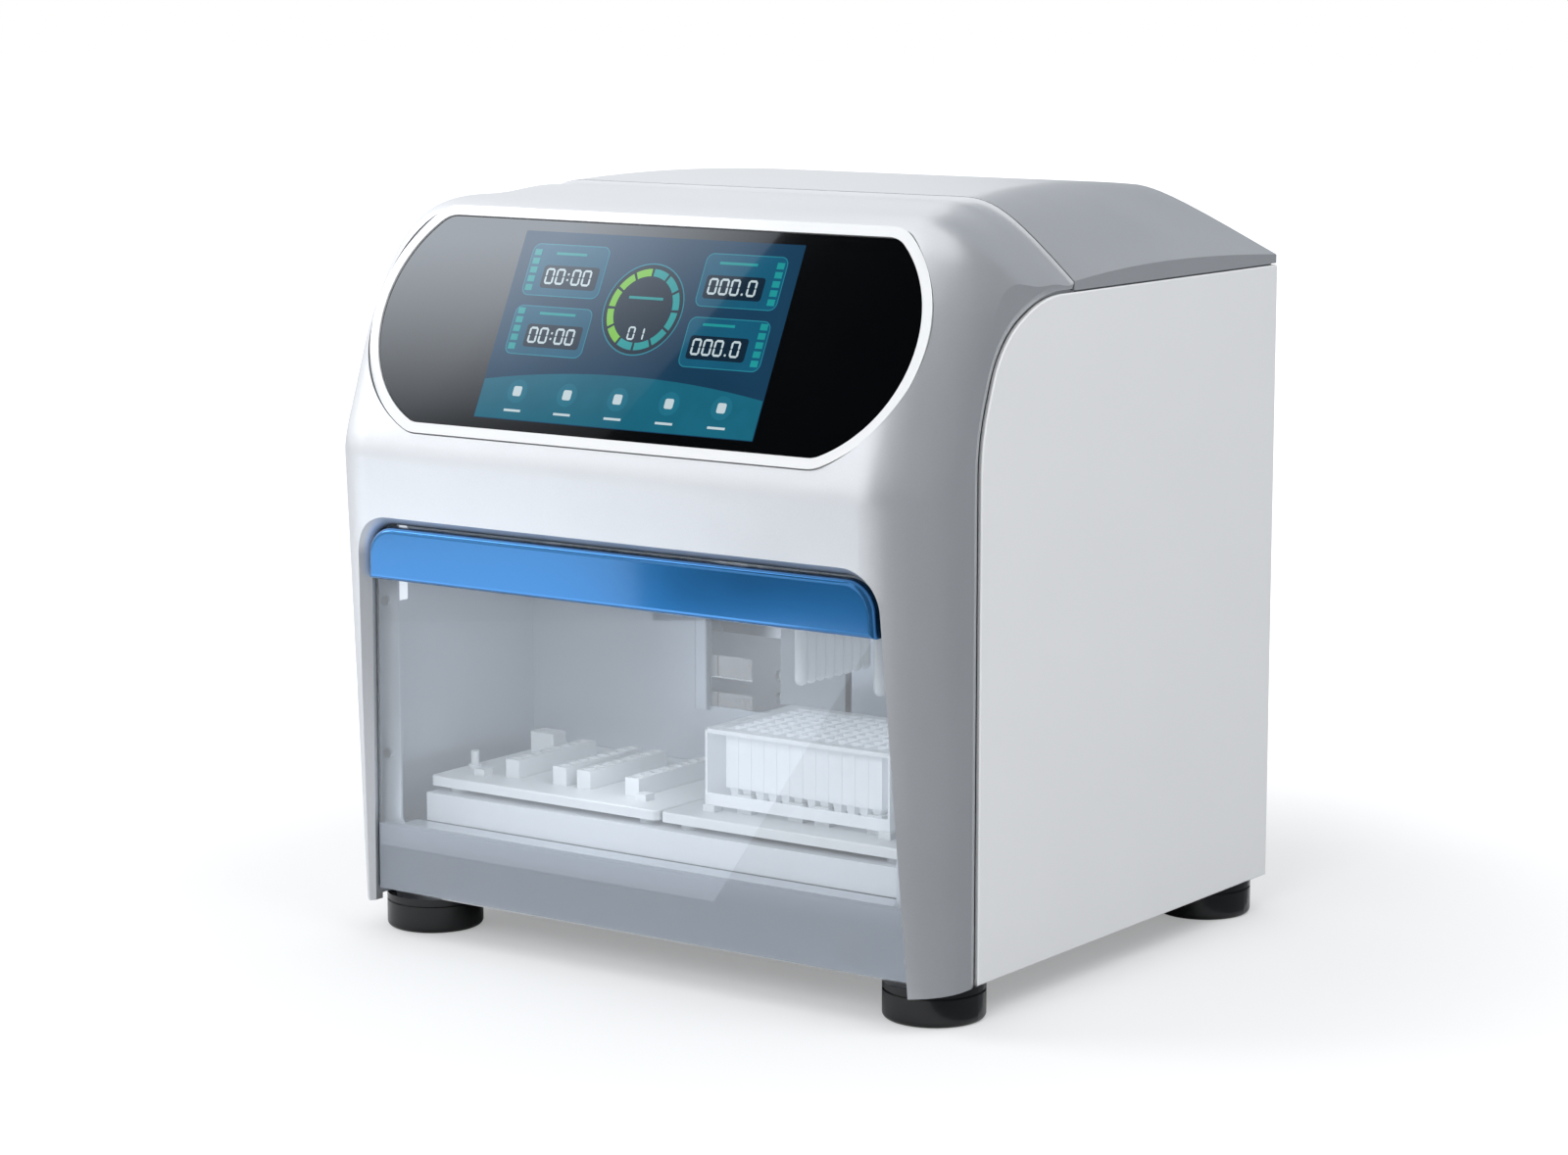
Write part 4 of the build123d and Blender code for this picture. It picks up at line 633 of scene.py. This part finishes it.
flag("flag_right", -2, 160, 0.19, steps=8)
flag("flag_back", 160, 205, 0.32, steps=3)
floor_card("flag_floor", ((0.215, -1.1), (1.1, -0.6), (1.1, 1.1), (0.215, 1.1)), 0.19)

# The door mirrors the floor: this card's slanted right edge is the diagonal across the door.
floor_card("door_card", ((-1.0, -0.86), (-0.297, -0.86), (-0.037, -0.30), (-1.0, -0.30)), 1.7)

# The grip mirrors a bright strip on its left part and a dark one on its right part.
floor_card("grip_floor", rectangle(-0.53, -1.06, 0.58, 0.19), 0.05)
GRIP_AT, GRIP_ACROSS = (-0.40, -0.72, 0.0), (-0.92, 0.39, 0.0)
GRIP_FOOT = 0.035
card("grip_card", GRIP_AT, GRIP_ACROSS, SKY, rectangle(0.0, GRIP_FOOT, 0.6, 0.07),
     card_material("grip_card", 1.45))
card("grip_flag", GRIP_AT, GRIP_ACROSS, SKY, rectangle(-0.4, GRIP_FOOT, 0.4, 0.095),
     card_material("grip_flag", 0.02))


# -------------------------------------------------------------- lamps and surround

CENTRE = (0.0, 0.0, 0.22)
LAMP_WHITE, LAMP_COOL = (1, 1, 1), (0.95, 0.98, 1.0)


def softbox(name, place, aim, size, watts, colour=LAMP_WHITE, mirrored=False):
    """Rectangular area light aimed at a point; only a mirrored one shows in reflections."""
    data = bpy.data.lights.new(name, "AREA")
    data.shape = "RECTANGLE"
    data.size, data.size_y = size
    data.energy = watts
    data.color = colour
    obj = bpy.data.objects.new(name, data)
    obj.location = place
    obj.rotation_euler = (Vector(aim) - Vector(place)).to_track_quat("-Z", "Y").to_euler()
    SCENE.collection.objects.link(obj)
    if not mirrored:
        obj.visible_glossy = False
        obj.visible_camera = False


softbox("key_left", (-2.3, -1.3, 1.9), CENTRE, (1.3, 1.3), 33, mirrored=True)
softbox("over_right", (1.6, -0.2, 2.4), CENTRE, (1.6, 1.6), 20)
softbox("front_fill", (0.5, -2.4, 1.45), (0.0, 0.0, 0.15), (1.4, 0.8), 27)
softbox("bay_light", (-0.12, 0.06, 0.33), (-0.14, 0.18, 0.12), (0.16, 0.05), 0.28, LAMP_COOL)
softbox("wall_light", (-0.02, -0.147, 0.16), (-0.19, -0.158, 0.08), (0.03, 0.06), 0.035, LAMP_COOL)
softbox("chamber_light", (0.0, -0.095, 0.372), (0.0, -0.095, 0.0), (0.34, 0.03), 0.12, LAMP_COOL,
        mirrored=True)

SURROUND_LEFT, SURROUND_RIGHT = 0.93, 0.62


def build_world():
    """Pale studio surround, brighter on the left. The camera sees plain white."""
    surround = bpy.data.worlds.new("Studio")
    SCENE.world = surround
    surround.use_nodes = True
    tree = surround.node_tree
    tree.nodes.clear()
    out = tree.nodes.new("ShaderNodeOutputWorld")
    coord = tree.nodes.new("ShaderNodeTexCoord")
    place = add(tree, "ShaderNodeSeparateXYZ", Vector=coord.outputs["Generated"])
    level = remap(tree, place.outputs["X"], -1.0, 1.0, SURROUND_LEFT, SURROUND_RIGHT)
    light = add(tree, "ShaderNodeBackground", Color=(0.97, 0.985, 1.0, 1), Strength=level)
    white = add(tree, "ShaderNodeBackground", Color=(1, 1, 1, 1), Strength=1.0)
    path = tree.nodes.new("ShaderNodeLightPath")
    mix = mix_shader(tree, path.outputs["Is Camera Ray"], light.outputs["Background"],
                     white.outputs["Background"])
    tree.links.new(mix, out.inputs["Surface"])


build_world()


# -------------------------------------------------------------- camera, at the photograph's angle

CAMERA_AT = (1.35447, -1.91512, 0.58906)
CAMERA_YAW, CAMERA_PITCH = radians(35.581), radians(9.139)
LENS, SENSOR = 91.10, 36.0      # millimetres

camera_data = bpy.data.cameras.new("camera")
camera_data.sensor_width = SENSOR
camera_data.lens = LENS
camera_data.clip_start = 0.05
camera_data.clip_end = 100.0
camera = bpy.data.objects.new("camera", camera_data)
camera.location = CAMERA_AT
look = Vector((-sin(CAMERA_YAW) * cos(CAMERA_PITCH), cos(CAMERA_YAW) * cos(CAMERA_PITCH), -sin(CAMERA_PITCH)))
camera.rotation_euler = look.to_track_quat("-Z", "Y").to_euler()
SCENE.collection.objects.link(camera)
SCENE.camera = camera
SCENE.view_settings.view_transform = "Standard"
